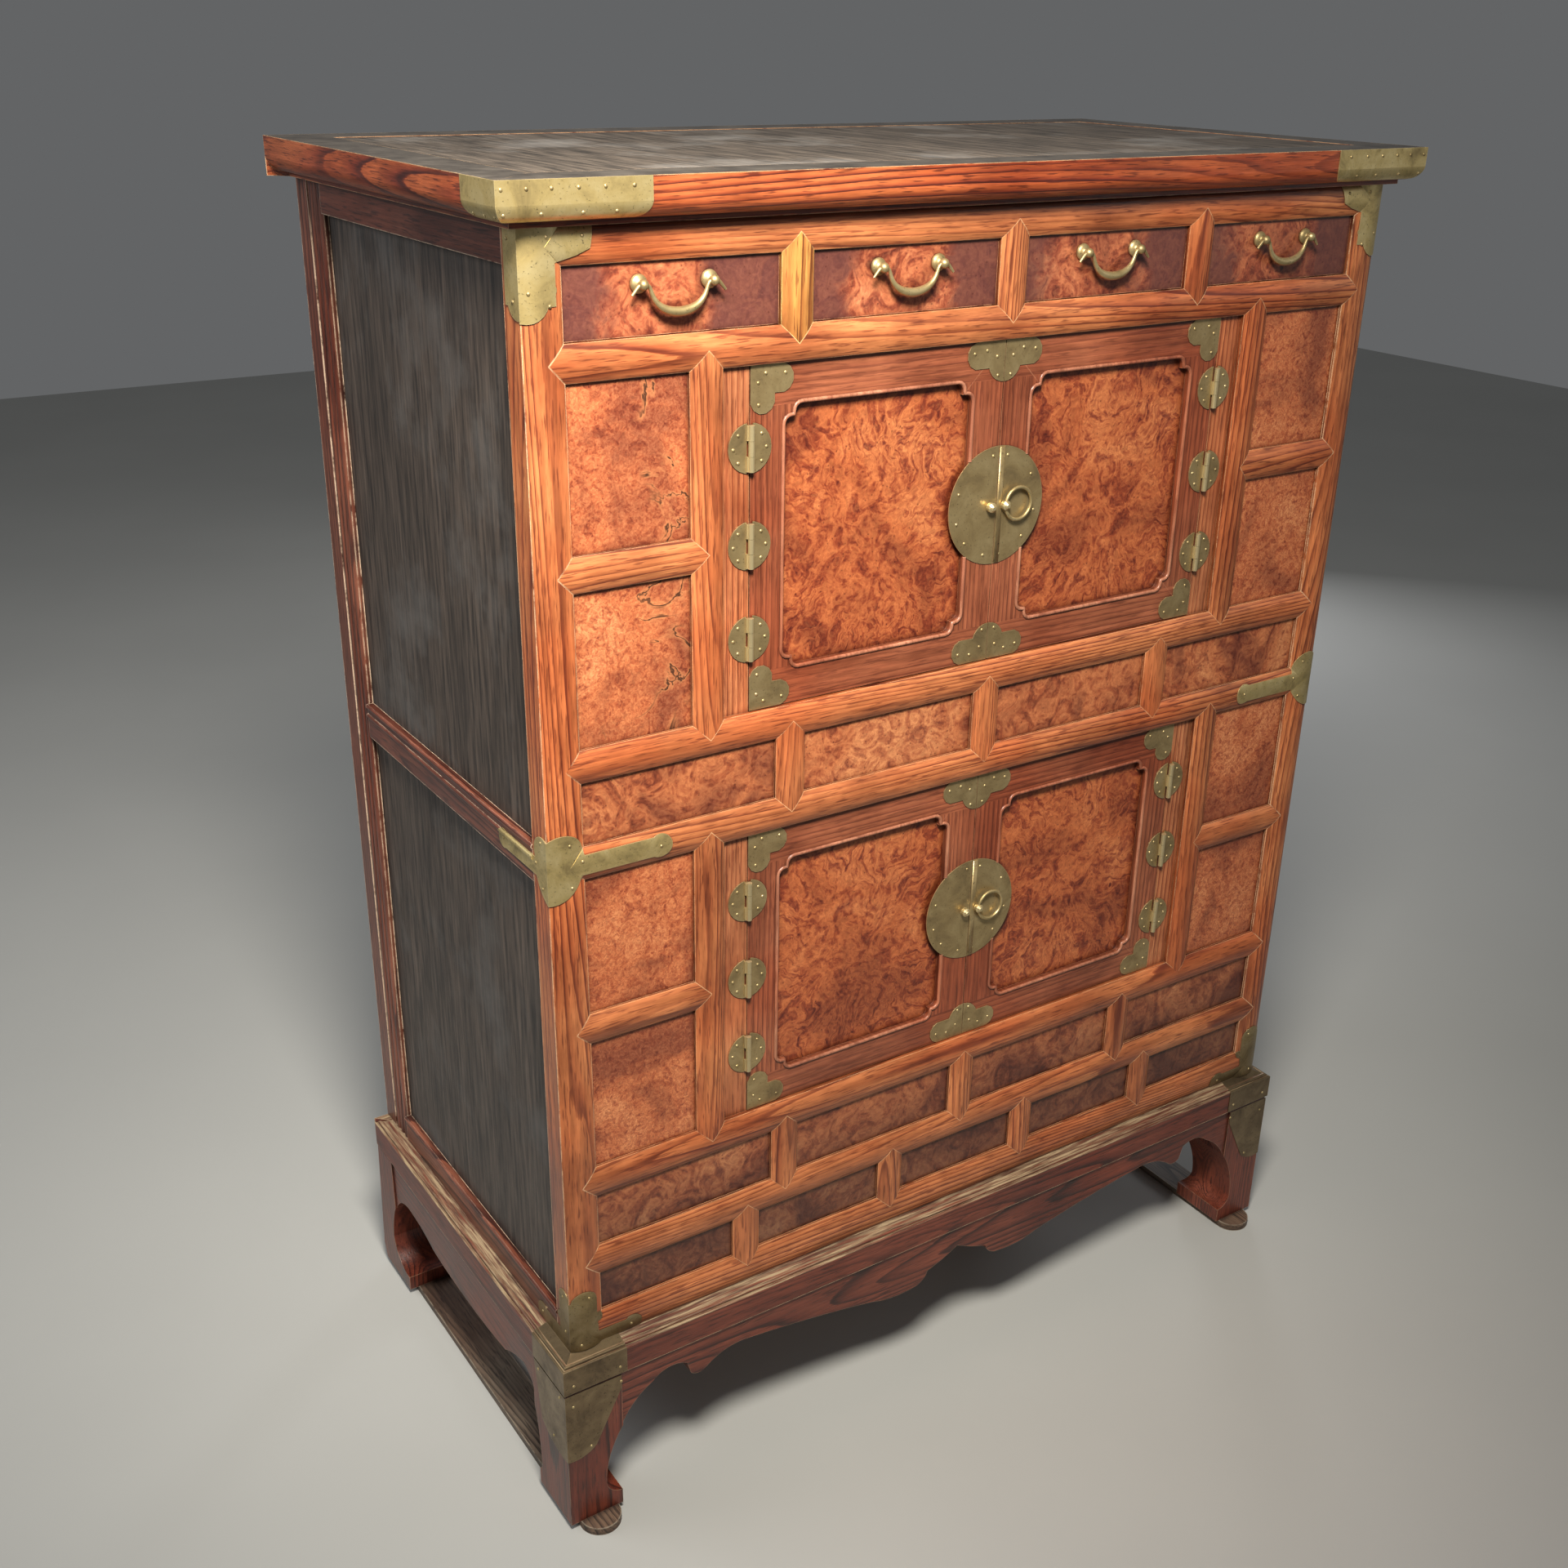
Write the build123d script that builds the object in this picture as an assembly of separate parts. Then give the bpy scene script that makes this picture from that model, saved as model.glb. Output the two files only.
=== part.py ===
from build123d import *
from math import cos, pi
import os

# Korean two tier chest (icheung jang).  All lengths are in millimetres.
# X runs across the front, +Y runs from the front to the back and +Z is up.
# Everything is drawn with y = 0 on the front plane of the case and z = 0 on
# the floor; the finished chest is moved along Y so that the origin lies at
# the middle of its footprint.

# ---------------------------------------------------------------- case
case_width = 960.0
case_depth = 486.0

# heights of the front members, from the floor up
runner_thickness = 9.0
leg_height = 173.4
moulding_height = 36.6
bottom_rail_height = 37.3
low_band_height = 45.9
band_rail_height = 33.7
mid_band_height = 59.0
lower_sill_height = 33.2
lower_door_opening = 306.7
tier_rail_height = 31.8
upper_band_height = 59.5
upper_sill_height = 30.6
upper_door_opening = 307.3
drawer_rail_height = 30.6
drawer_opening_height = 57.6
top_rail_height = 29.4
cornice_height = 35.4

# widths of the front members, from the side inwards
post_face = 35.4
wing_width = 111.0
stile_face = 31.9
jamb_face = 27.5
wing_muntin_face = 31.0
muntin_face = 31.5
drawer_count = 4
low_band_panels = 5

# sections
pillow_crest = 4.5
post_depth = 28.0
rail_depth = 24.0
mitre_depth = 11.0
panel_recess = 3.0
panel_thickness = 6.0
jamb_recess = 4.0
tongue = 4.6
tongue_end_gap = 0.4
tongue_side_gap = 0.1
rear_post_width = 63.0
rear_post_thickness = 28.0
reed_band = 35.0
reed_count = 3
reed_sink = 2.6
side_rail_top_height = 29.4
side_mid_rail_height = 36.5
side_bottom_rail_height = 33.0
bead_height = 5.0
bead_proud = 1.6
side_board_recess = 7.0
side_board_thickness = 9.0
back_board_recess = 8.0
back_board_thickness = 9.0
floor_thickness = 12.0
floor_drop = 5.0
guide_height = 18.0

# cornice
cornice_overhang = 27.0
cornice_member = 50.0
cornice_ledge = 8.0
cornice_square = 18.0
lip_overhang = 10.5
lip_height = 4.4
ovolo_start = 13.0
top_board_thickness = 12.0
top_board_drop = 0.6
top_board_seam = 0.6
top_board_count = 4

# stand
moulding_overhang = 17.0
moulding_member = 55.0
moulding_square = 27.5
moulding_bead = 3.4
leg_inset = 1.0
apron_inset = 3.0
apron_thickness = 16.0
shadow_chamfer = 3.0
apron_depth = 69.4
rear_apron_height = 50.0
leg_width = 63.0
leg_reach = 76.0
rear_leg_reach = 42.0
ankle_width = 42.0
ankle_reach = 66.0
ankle_rise = 17.0
toe_height = 18.0
toe_width = 60.0
front_toe_reach = 72.0
rear_toe_reach = 69.0
rear_ankle_reach = 26.0
rear_leg_splay = 12.0
runner_width = 44.0
runner_inset = 34.0
runner_front = 38.0
runner_back = 506.0

# drawers
drawer_gap = 0.6
drawer_front_thickness = 18.0
drawer_length = 400.0
drawer_side_height = 46.0
drawer_board = 9.0
drawer_bottom = 6.0

# doors
door_gap = 1.0
door_thickness = 22.0
door_member = 35.0
door_panel_recess = 5.5
door_panel_thickness = 7.0
door_rebate = 7.0
cusp_step = 10.5
cusp_radius = 8.0

# hinges
hinge_disc_radius = 21.5
hinge_plate = 1.0
hinge_axis_proud = 3.5
knuckle_radius = 2.8
hinge_length = 39.5
knuckle_gap = 0.3
pin_radius = 1.3
pin_clearance = 0.05
leaf_clear = 0.5
hinge_pitch = 84.5

# brass
brass = 0.8
lock_plate_radius = 56.5
leg_plate_drop = 84.5
head_plate_drop = 70.0
foot_plate_rise = 71.0
plate_reach = 62.0
cap_front = 128.0
cap_side = 60.0
cap_round = 13.0
stand_cap = 70.0
corner_lobe = 12.4
corner_across = 43.0
corner_up = 41.0
meeting_lobe = 18.5
meeting_up = 37.0
ball_offset = 8.7
ball_radius = 4.7
ball_reach = 9.6
ball_stem_radius = 2.2
ball_facet = 0.57
ring_radius = 15.5
ring_wire = 1.75
ring_bore = 2.8

# bails
bail_spread = 32.0
bail_rise = 11.6
bail_reach = 9.0
bail_dome_radius = 7.5
bail_dome_height = 2.6
bail_dome_slope = 2.1
bail_eye_radius = 4.2
bail_eye_width = 5.0
bail_side_gap = 1.0
bail_stem_radius = 2.6
bail_wire = 1.6
bail_bore_gap = 0.1
bail_drop = 21.0
bail_belly = 4.25
bail_tip_reach = 10.0
bail_tip_drop = 8.0

# number of flats on small brass, which is cut and filed by hand
turned_sides = 12
lobe_sides = 12
disc_sides = 24
stem_sides = 8
ring_sides = 24
ring_chamfer = 0.9

# ------------------------------------------------- places worked out from these
case_half = case_width / 2
moulding_bottom = runner_thickness + leg_height
case_bottom = moulding_bottom + moulding_height
low_band_bottom = case_bottom + bottom_rail_height
band_rail_bottom = low_band_bottom + low_band_height
mid_band_bottom = band_rail_bottom + band_rail_height
lower_sill_bottom = mid_band_bottom + mid_band_height
lower_door_bottom = lower_sill_bottom + lower_sill_height
tier_rail_bottom = lower_door_bottom + lower_door_opening
upper_band_bottom = tier_rail_bottom + tier_rail_height
upper_sill_bottom = upper_band_bottom + upper_band_height
upper_door_bottom = upper_sill_bottom + upper_sill_height
drawer_rail_bottom = upper_door_bottom + upper_door_opening
drawer_row_bottom = drawer_rail_bottom + drawer_rail_height
top_rail_bottom = drawer_row_bottom + drawer_opening_height
case_top = top_rail_bottom + top_rail_height

wing_outer = case_half - post_face
stile_outer = wing_outer - wing_width
jamb_outer = stile_outer - stile_face
door_half_opening = jamb_outer - jamb_face
middle_y = (runner_back - runner_front) / 2
rear_post_front = case_depth - rear_post_width
rear_post_inner = case_half - rear_post_thickness
side_board_outer = case_half - side_board_recess
side_board_inner = side_board_outer - side_board_thickness
back_board_rear = case_depth - back_board_recess
back_board_front = back_board_rear - back_board_thickness
back_rail_front = case_depth - rail_depth
hinge_x = door_half_opening - door_gap / 2
cos_of_half_side = cos(pi / lobe_sides)
hinge_y = jamb_recess - hinge_axis_proud
ball_y = jamb_recess - ball_reach + ball_radius
door_meeting = door_gap / 2
door_outer = door_half_opening - door_gap

parts = {}


def add(node, *solids):
    """Put solids into a node."""
    parts.setdefault(node, []).extend(solids)


def both_sides(shape):
    """The shape and its mirror image on the other side of the chest."""
    return [shape, mirror(shape, about=Plane.YZ)]


def block(x0, x1, y0, y1, z0, z1):
    """A box between two opposite corners."""
    centre = Pos((x0 + x1) / 2, (y0 + y1) / 2, (z0 + z1) / 2)
    return centre * Box(x1 - x0, y1 - y0, z1 - z0)


def face_of(*points):
    """A flat face with straight sides."""
    return make_face(Polyline(*points, close=True))


def lobe(x, z, radius):
    """A round end of a plate, cut with short straight strokes."""
    return Pos(x, z) * RegularPolygon(radius, lobe_sides, rotation=180 / lobe_sides)


def rounded(x, z, radius):
    """A round end of a folded plate."""
    return Pos(x, z) * RegularPolygon(radius, disc_sides)


def front_prism(sketch, y0, y1):
    """A sketch drawn in x and z, made solid from y0 to y1."""
    return extrude(Plane.XZ.offset(-y1) * sketch, amount=y1 - y0)


def side_prism(sketch, x0, x1):
    """A sketch drawn in y and z, made solid from x0 to x1."""
    return extrude(Plane.YZ.offset(x0) * sketch, amount=x1 - x0)


def plan_prism(sketch, z0, z1):
    """A sketch drawn in x and y, made solid from z0 to z1."""
    return extrude(Plane.XY.offset(z0) * sketch, amount=z1 - z0)


# ---------------------------------------------------------------- front framing
# Each bar has a pillowed face.  A bar that ends on another has a 45 degree
# point at its face, which lies in a V notch in the bar that it meets, and a
# square shoulder behind the point.
def pillow_section(width, depth):
    back = Polyline((width / 2, 0), (width / 2, -depth), (-width / 2, -depth), (-width / 2, 0))
    face = ThreePointArc((-width / 2, 0), (0, pillow_crest), (width / 2, 0))
    return make_face(back + face)


def level_bar(x0, x1, z0, z1, depth=rail_depth):
    """A pillowed bar lying along X."""
    plane = Plane(origin=(x0, 0, (z0 + z1) / 2), x_dir=(0, 0, 1), z_dir=(1, 0, 0))
    return extrude(plane * pillow_section(z1 - z0, depth), amount=x1 - x0)


def upright_bar(x0, x1, z0, z1, depth=rail_depth):
    """A pillowed bar standing along Z."""
    plane = Plane(origin=((x0 + x1) / 2, 0, z0), x_dir=(-1, 0, 0), z_dir=(0, 0, 1))
    return extrude(plane * pillow_section(x1 - x0, depth), amount=z1 - z0)


def level_points(x0, x1, z0, z1):
    """The pointed head of a level bar, as deep as its mitres."""
    point = (z1 - z0) / 2
    middle = (z0 + z1) / 2
    outline = face_of(
        (x0 - point, middle), (x0, z0), (x1, z0), (x1 + point, middle), (x1, z1), (x0, z1)
    )
    return front_prism(outline, -2 * pillow_crest, mitre_depth)


def upright_points(x0, x1, z0, z1):
    """The pointed head of an upright bar, as deep as its mitres."""
    point = (x1 - x0) / 2
    middle = (x0 + x1) / 2
    outline = face_of(
        (middle, z0 - point), (x1, z0), (x1, z1), (middle, z1 + point), (x0, z1), (x0, z0)
    )
    return front_prism(outline, -2 * pillow_crest, mitre_depth)


def pointed_level(x0, x1, z0, z1):
    point = (z1 - z0) / 2
    bar = level_bar(x0 - point, x1 + point, z0, z1)
    return bar & (level_points(x0, x1, z0, z1) + block(x0, x1, 0, rail_depth, z0, z1))


def pointed_upright(x0, x1, z0, z1):
    point = (x1 - x0) / 2
    bar = upright_bar(x0, x1, z0 - point, z1 + point)
    return bar & (upright_points(x0, x1, z0, z1) + block(x0, x1, 0, rail_depth, z0, z1))


def touching(shape, others):
    """The members of a list whose boxes meet the box of a shape."""
    box = shape.bounding_box()
    found = []
    for other in others:
        near = other.bounding_box()
        apart = (
            near.min.X > box.max.X or near.max.X < box.min.X
            or near.min.Y > box.max.Y or near.max.Y < box.min.Y
            or near.min.Z > box.max.Z or near.max.Z < box.min.Z
        )
        if not apart:
            found.append(other)
    return found


def cut_by(shape, others):
    """A shape less everything in a list that reaches it."""
    for other in touching(shape, others):
        shape = shape - other
    return shape


def row_spans(count, face):
    """The left and right edges of each opening in a row of panels."""
    opening = (2 * wing_outer - (count - 1) * face) / count
    return [
        (-wing_outer + index * (opening + face), -wing_outer + index * (opening + face) + opening)
        for index in range(count)
    ]


rail_levels = {
    "bottom_rail": (case_bottom, low_band_bottom),
    "band_rail": (band_rail_bottom, mid_band_bottom),
    "lower_sill": (lower_sill_bottom, lower_door_bottom),
    "tier_rail": (tier_rail_bottom, upper_band_bottom),
    "upper_sill": (upper_sill_bottom, upper_door_bottom),
    "drawer_rail": (drawer_rail_bottom, drawer_row_bottom),
    "top_rail": (top_rail_bottom, case_top),
}
door_rows = {
    "lower": (lower_door_bottom, tier_rail_bottom),
    "upper": (upper_door_bottom, drawer_rail_bottom),
}
band_rows = [
    (low_band_bottom, band_rail_bottom, low_band_panels),
    (mid_band_bottom, lower_sill_bottom, drawer_count),
    (upper_band_bottom, upper_sill_bottom, drawer_count),
]
drawer_spans = row_spans(drawer_count, muntin_face)


def muntin_gaps(count):
    """The left and right faces of the muntins in a row."""
    spans = row_spans(count, muntin_face)
    return [(spans[index][1], spans[index + 1][0]) for index in range(count - 1)]


band_muntin_boxes = [
    (x0, x1, z0, z1) for z0, z1, count in band_rows for x0, x1 in muntin_gaps(count)
]
drawer_muntin_boxes = [
    (x0, x1, drawer_row_bottom, top_rail_bottom) for x0, x1 in muntin_gaps(drawer_count)
]
stile_boxes = [
    (x0, x1, z0, z1)
    for z0, z1 in door_rows.values()
    for x0, x1 in ((-stile_outer, -jamb_outer), (jamb_outer, stile_outer))
]


def wing_muntin_level(z0, z1):
    """The bottom and top of the muntin that halves a wing of a tier."""
    middle = (z0 + z1) / 2
    return middle - wing_muntin_face / 2, middle + wing_muntin_face / 2


wing_muntin_boxes = [
    (x0, x1, *wing_muntin_level(z0, z1))
    for z0, z1 in door_rows.values()
    for x0, x1 in ((-wing_outer, -stile_outer), (stile_outer, wing_outer))
]

# ---------------------------------------------------------------- panels
# Thin boards held by tongues in blind grooves of the bars round them.
panel_boxes = {"band_panels": [], "wing_panels": []}
for z0, z1, count in band_rows:
    for x0, x1 in row_spans(count, muntin_face):
        panel_boxes["band_panels"].append((x0, x1, z0, z1))
for z0, z1 in door_rows.values():
    low, high = wing_muntin_level(z0, z1)
    for x0, x1 in ((-wing_outer, -stile_outer), (stile_outer, wing_outer)):
        panel_boxes["wing_panels"].append((x0, x1, z0, low))
        panel_boxes["wing_panels"].append((x0, x1, high, z1))

front_grooves = []
for node, boxes in panel_boxes.items():
    for x0, x1, z0, z1 in boxes:
        rear = panel_recess + panel_thickness
        add(node, block(x0 - tongue, x1 + tongue, panel_recess, rear, z0 - tongue, z1 + tongue))
        reach = tongue + tongue_end_gap
        front_grooves.append(
            block(
                x0 - reach, x1 + reach,
                panel_recess - tongue_side_gap, rear + tongue_side_gap,
                z0 - reach, z1 + reach,
            )
        )

# ---------------------------------------------------------------- side and back boards
side_rail_levels = [
    (case_bottom, case_bottom + side_bottom_rail_height),
    (upper_band_bottom - side_mid_rail_height, upper_band_bottom),
    (case_top - side_rail_top_height, case_top),
]
back_rail_levels = [
    (case_bottom, low_band_bottom),
    (tier_rail_bottom, upper_band_bottom),
    (top_rail_bottom, case_top),
]
carcass_grooves = []
reach = tongue + tongue_end_gap
for lower, upper in zip(side_rail_levels, side_rail_levels[1:]):
    z0, z1 = lower[1], upper[0]
    board = block(
        side_board_inner, side_board_outer,
        post_depth - tongue, rear_post_front + tongue,
        z0 - tongue, z1 + tongue,
    )
    groove = block(
        side_board_inner - tongue_side_gap, side_board_outer + tongue_side_gap,
        post_depth - reach, rear_post_front + reach,
        z0 - reach, z1 + reach,
    )
    add("side_boards", *both_sides(board))
    carcass_grooves.extend(both_sides(groove))
for lower, upper in zip(back_rail_levels, back_rail_levels[1:]):
    z0, z1 = lower[1], upper[0]
    add(
        "back_boards",
        block(
            -rear_post_inner - tongue, rear_post_inner + tongue,
            back_board_front, back_board_rear,
            z0 - tongue, z1 + tongue,
        ),
    )
    carcass_grooves.append(
        block(
            -rear_post_inner - reach, rear_post_inner + reach,
            back_board_front - tongue_side_gap, back_board_rear + tongue_side_gap,
            z0 - reach, z1 + reach,
        )
    )

# ---------------------------------------------------------------- posts, rails, stiles
rail_heads = [level_points(-wing_outer, wing_outer, *level) for level in rail_levels.values()]
wing_heads = [level_points(*box) for box in wing_muntin_boxes]
upright_heads = [
    upright_points(*box) for box in band_muntin_boxes + drawer_muntin_boxes + stile_boxes
]

whole_post = upright_bar(wing_outer, case_half, case_bottom, case_top, post_depth)
front_post = cut_by(whole_post, rail_heads + wing_heads + front_grooves + carcass_grooves)
add("front_posts", *both_sides(front_post))

rails = {}
for name, (z0, z1) in rail_levels.items():
    rail = pointed_level(-wing_outer, wing_outer, z0, z1)
    rails[name] = cut_by(rail, upright_heads + front_grooves)
for name in ("bottom_rail", "tier_rail", "drawer_rail", "top_rail"):
    add(name, rails[name])
add("sill_rails", rails["band_rail"], rails["lower_sill"], rails["upper_sill"])

for box in stile_boxes:
    add("door_stiles", cut_by(pointed_upright(*box), wing_heads + front_grooves))
for box in band_muntin_boxes:
    add("band_muntins", cut_by(pointed_upright(*box), front_grooves))
for box in drawer_muntin_boxes:
    add("drawer_muntins", pointed_upright(*box))
for box in wing_muntin_boxes:
    add("wing_muntins", cut_by(pointed_level(*box), front_grooves))

# flat jambs that carry the hinges, between the stiles and the doors
for z0, z1 in door_rows.values():
    jamb = block(door_half_opening, jamb_outer, jamb_recess, rail_depth, z0, z1)
    add("door_jambs", *both_sides(jamb))


# Rear posts: plain at the back, with a band of upright reeds next to the side
# boards.
def rear_post():
    reed = reed_band / reed_count
    valley = case_half - reed_sink
    outline = Polyline(
        (case_half, rear_post_front + reed_band),
        (case_half, case_depth),
        (rear_post_inner, case_depth),
        (rear_post_inner, rear_post_front),
        (valley, rear_post_front),
    )
    for index in range(reed_count):
        start = rear_post_front + index * reed
        arc = ThreePointArc(
            (valley, start), (case_half, start + reed / 2), (valley, start + reed)
        )
        outline += arc
    outline += Line((valley, rear_post_front + reed_band), (case_half, rear_post_front + reed_band))
    return plan_prism(make_face(outline), case_bottom, case_top)


add("rear_posts", *both_sides(cut_by(rear_post(), carcass_grooves)))


# Side rails: flat, with a bead along the top edge; the middle one has two.
def side_rail(z0, z1, beads):
    x_inner = case_half - rail_depth
    rail = block(x_inner, case_half, post_depth, rear_post_front, z0, z1)
    for index in range(beads):
        middle = z1 - bead_height / 2 - index * 2 * bead_height
        bead = make_face(
            ThreePointArc(
                (case_half, middle - bead_height / 2),
                (case_half + bead_proud, middle),
                (case_half, middle + bead_height / 2),
            )
            + Line(
                (case_half, middle + bead_height / 2), (case_half, middle - bead_height / 2)
            )
        )
        plane = Plane(origin=(0, rear_post_front, 0), x_dir=(1, 0, 0), z_dir=(0, -1, 0))
        rail += extrude(plane * bead, amount=rear_post_front - post_depth)
    return rail


for (z0, z1), beads in zip(side_rail_levels, (1, 2, 0)):
    add("side_rails", *both_sides(cut_by(side_rail(z0, z1, beads), carcass_grooves)))
for z0, z1 in back_rail_levels:
    rail = block(-rear_post_inner, rear_post_inner, back_rail_front, case_depth, z0, z1)
    add("back_rails", cut_by(rail, carcass_grooves))


# Floors: one board in each tier, notched round the four posts, and the dust
# board that the drawers slide on.
def floor_board(half, rear, top):
    outline = face_of(
        (-wing_outer, rail_depth), (wing_outer, rail_depth),
        (wing_outer, post_depth), (half, post_depth),
        (half, rear_post_front), (rear_post_inner, rear_post_front),
        (rear_post_inner, rear), (-rear_post_inner, rear),
        (-rear_post_inner, rear_post_front), (-half, rear_post_front),
        (-half, post_depth), (-wing_outer, post_depth),
    )
    return plan_prism(outline, top - floor_thickness, top)


side_rail_inner = case_half - rail_depth
add("inner_floors", floor_board(side_rail_inner, back_rail_front, low_band_bottom - floor_drop))
add("inner_floors", floor_board(side_rail_inner, back_rail_front, upper_band_bottom - floor_drop))
add("inner_floors", floor_board(side_board_inner, back_board_front, drawer_row_bottom))

guide_top = drawer_row_bottom + guide_height
for x0, x1 in muntin_gaps(drawer_count):
    add(
        "drawer_guides",
        block(x0, x1, rail_depth, back_board_front, drawer_row_bottom, guide_top),
    )
end_guide = block(
    wing_outer, side_board_inner, post_depth, rear_post_front, drawer_row_bottom, guide_top
)
add("drawer_guides", *both_sides(end_guide))


# ---------------------------------------------------------------- cornice
# A mitred frame: square edge, ovolo and a small lip, with a ledge inside for
# the top boards.  The back member is plain and flush with the case.
def cornice_section():
    """Section with x measured outwards from the case and y up from its top."""
    seam = cornice_overhang - cornice_member
    ledge = seam - cornice_ledge
    ledge_top = cornice_height - top_board_drop - top_board_thickness
    square = cornice_height - cornice_square
    outline = Polyline(
        (cornice_overhang, square), (cornice_overhang, cornice_height),
        (seam, cornice_height), (seam, ledge_top), (ledge, ledge_top), (ledge, 0),
        (lip_overhang, 0), (lip_overhang, lip_height), (ovolo_start, lip_height),
    )
    swell = 0.7
    across = cornice_overhang - ovolo_start
    rise = square - lip_height
    outline += ThreePointArc(
        (ovolo_start, lip_height),
        (ovolo_start + swell * across, lip_height + (1 - swell) * rise),
        (cornice_overhang, square),
    )
    return make_face(outline)


def plain_section():
    """Section of the back member, with x measured outwards from the case."""
    ledge_top = cornice_height - top_board_drop - top_board_thickness
    ledge = -cornice_member - cornice_ledge
    return face_of(
        (0, 0), (0, cornice_height), (-cornice_member, cornice_height),
        (-cornice_member, ledge_top), (ledge, ledge_top), (ledge, 0),
    )


cornice_half = case_half + cornice_overhang
member_reach = cornice_member + cornice_ledge


def along_front(section, z):
    plane = Plane(origin=(-cornice_half, 0, z), x_dir=(0, -1, 0), z_dir=(-1, 0, 0))
    return extrude(plane * section, amount=-2 * cornice_half)


def along_side(section, z):
    """A moulding on the right side, from in front of the case to its back."""
    plane = Plane(origin=(case_half, case_depth, z), x_dir=(1, 0, 0), z_dir=(0, -1, 0))
    return extrude(plane * section, amount=case_depth + cornice_overhang)


def along_back(section, z):
    plane = Plane(origin=(-cornice_half, case_depth, z), x_dir=(0, 1, 0), z_dir=(1, 0, 0))
    return extrude(plane * section, amount=2 * cornice_half)


def mitre_front(half, overhang, reach, z0, z1):
    """The plan of a front member, between its two mitres."""
    outline = face_of(
        (-half, -overhang), (half, -overhang),
        (half - reach, reach - overhang), (reach - half, reach - overhang),
    )
    return plan_prism(outline, z0, z1)


def mitre_side(half, overhang, reach, z0, z1):
    outline = face_of(
        (half, -overhang), (half, case_depth),
        (half - reach, case_depth - reach), (half - reach, reach - overhang),
    )
    return plan_prism(outline, z0, z1)


def mitre_back(half, reach, z0, z1):
    outline = face_of(
        (-half, case_depth), (half, case_depth),
        (half - reach, case_depth - reach), (reach - half, case_depth - reach),
    )
    return plan_prism(outline, z0, z1)


chest_top = case_top + cornice_height
cornice_front = along_front(cornice_section(), case_top) & mitre_front(
    cornice_half, cornice_overhang, member_reach, case_top, chest_top
)
cornice_side = along_side(cornice_section(), case_top) & mitre_side(
    cornice_half, cornice_overhang, member_reach, case_top, chest_top
)
cornice_back = along_back(plain_section(), case_top) & mitre_back(
    cornice_half, member_reach, case_top, chest_top
)
add("top_frame", cornice_front, *both_sides(cornice_side), cornice_back)

board_half = cornice_half - cornice_member
board_pitch = 2 * board_half / top_board_count
board_top = chest_top - top_board_drop
for index in range(top_board_count):
    left = -board_half + index * board_pitch
    add(
        "top_boards",
        block(
            left + top_board_seam / 2, left + board_pitch - top_board_seam / 2,
            cornice_member - cornice_overhang, case_depth - cornice_member,
            board_top - top_board_thickness, board_top,
        ),
    )


# ---------------------------------------------------------------- stand
# A mitred moulding that the case sits on, carried by four shaped legs with
# cusped aprons between them, all standing on two runners.
def moulding_section():
    """Section with x measured outwards from the case and y up from the legs."""
    bead_out = moulding_overhang - moulding_bead
    bead_in = bead_out - moulding_bead
    slope_foot = moulding_square + moulding_bead * 1.6
    outline = Polyline(
        (moulding_overhang, moulding_square), (moulding_overhang, 0),
        (moulding_overhang - moulding_member, 0),
        (moulding_overhang - moulding_member, moulding_height),
        (0, moulding_height), (bead_in, slope_foot),
    )
    low = moulding_square + moulding_bead * 0.8
    outline += ThreePointArc(
        (bead_in, slope_foot),
        (bead_in + moulding_bead * 0.65, slope_foot + moulding_bead * 0.1),
        (bead_out, low),
    )
    outline += ThreePointArc(
        (bead_out, low),
        (bead_out + moulding_bead * 0.65, low + moulding_bead * 0.1),
        (moulding_overhang, moulding_square),
    )
    return make_face(outline)


def plain_moulding_section():
    return face_of(
        (0, 0), (0, moulding_height), (-moulding_member, moulding_height), (-moulding_member, 0)
    )


moulding_half = case_half + moulding_overhang
stand_front = along_front(moulding_section(), moulding_bottom) & mitre_front(
    moulding_half, moulding_overhang, moulding_member, moulding_bottom, case_bottom
)
stand_side = along_side(moulding_section(), moulding_bottom) & mitre_side(
    moulding_half, moulding_overhang, moulding_member, moulding_bottom, case_bottom
)
stand_back = along_back(plain_moulding_section(), moulding_bottom) & mitre_back(
    moulding_half, moulding_member, moulding_bottom, case_bottom
)
add("stand_frame", stand_front, *both_sides(stand_side), stand_back)

leg_outer = moulding_half - leg_inset
leg_front = leg_inset - moulding_overhang
leg_rear = case_depth
leg_bottom = runner_thickness
toe_top = leg_bottom + toe_height
knee_level = moulding_bottom - apron_depth


def arc_chain(points):
    """Arcs joined end to end: start, middle, end, middle, end and so on."""
    chain = ThreePointArc(*points[:3])
    for index in range(2, len(points) - 2, 2):
        chain += ThreePointArc(*points[index:index + 3])
    return chain


def leg_front_outline():
    """Front view of the right leg: straight outside, hollow inside, with a toe."""
    inner = leg_outer - leg_width
    ankle = leg_outer - ankle_width
    toe = leg_outer - toe_width
    sides = Polyline(
        (inner, knee_level), (inner, moulding_bottom), (leg_outer, moulding_bottom),
        (leg_outer, leg_bottom), (toe, leg_bottom), (toe, toe_top),
    )
    instep = arc_chain([
        (toe, toe_top), (toe + 0.6 * (ankle - toe), toe_top + 0.25 * ankle_rise),
        (ankle, toe_top + ankle_rise),
        (ankle + 0.22 * (inner - ankle), (toe_top + ankle_rise + knee_level) / 2),
        (inner, knee_level),
    ])
    return make_face(sides + instep)


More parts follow.
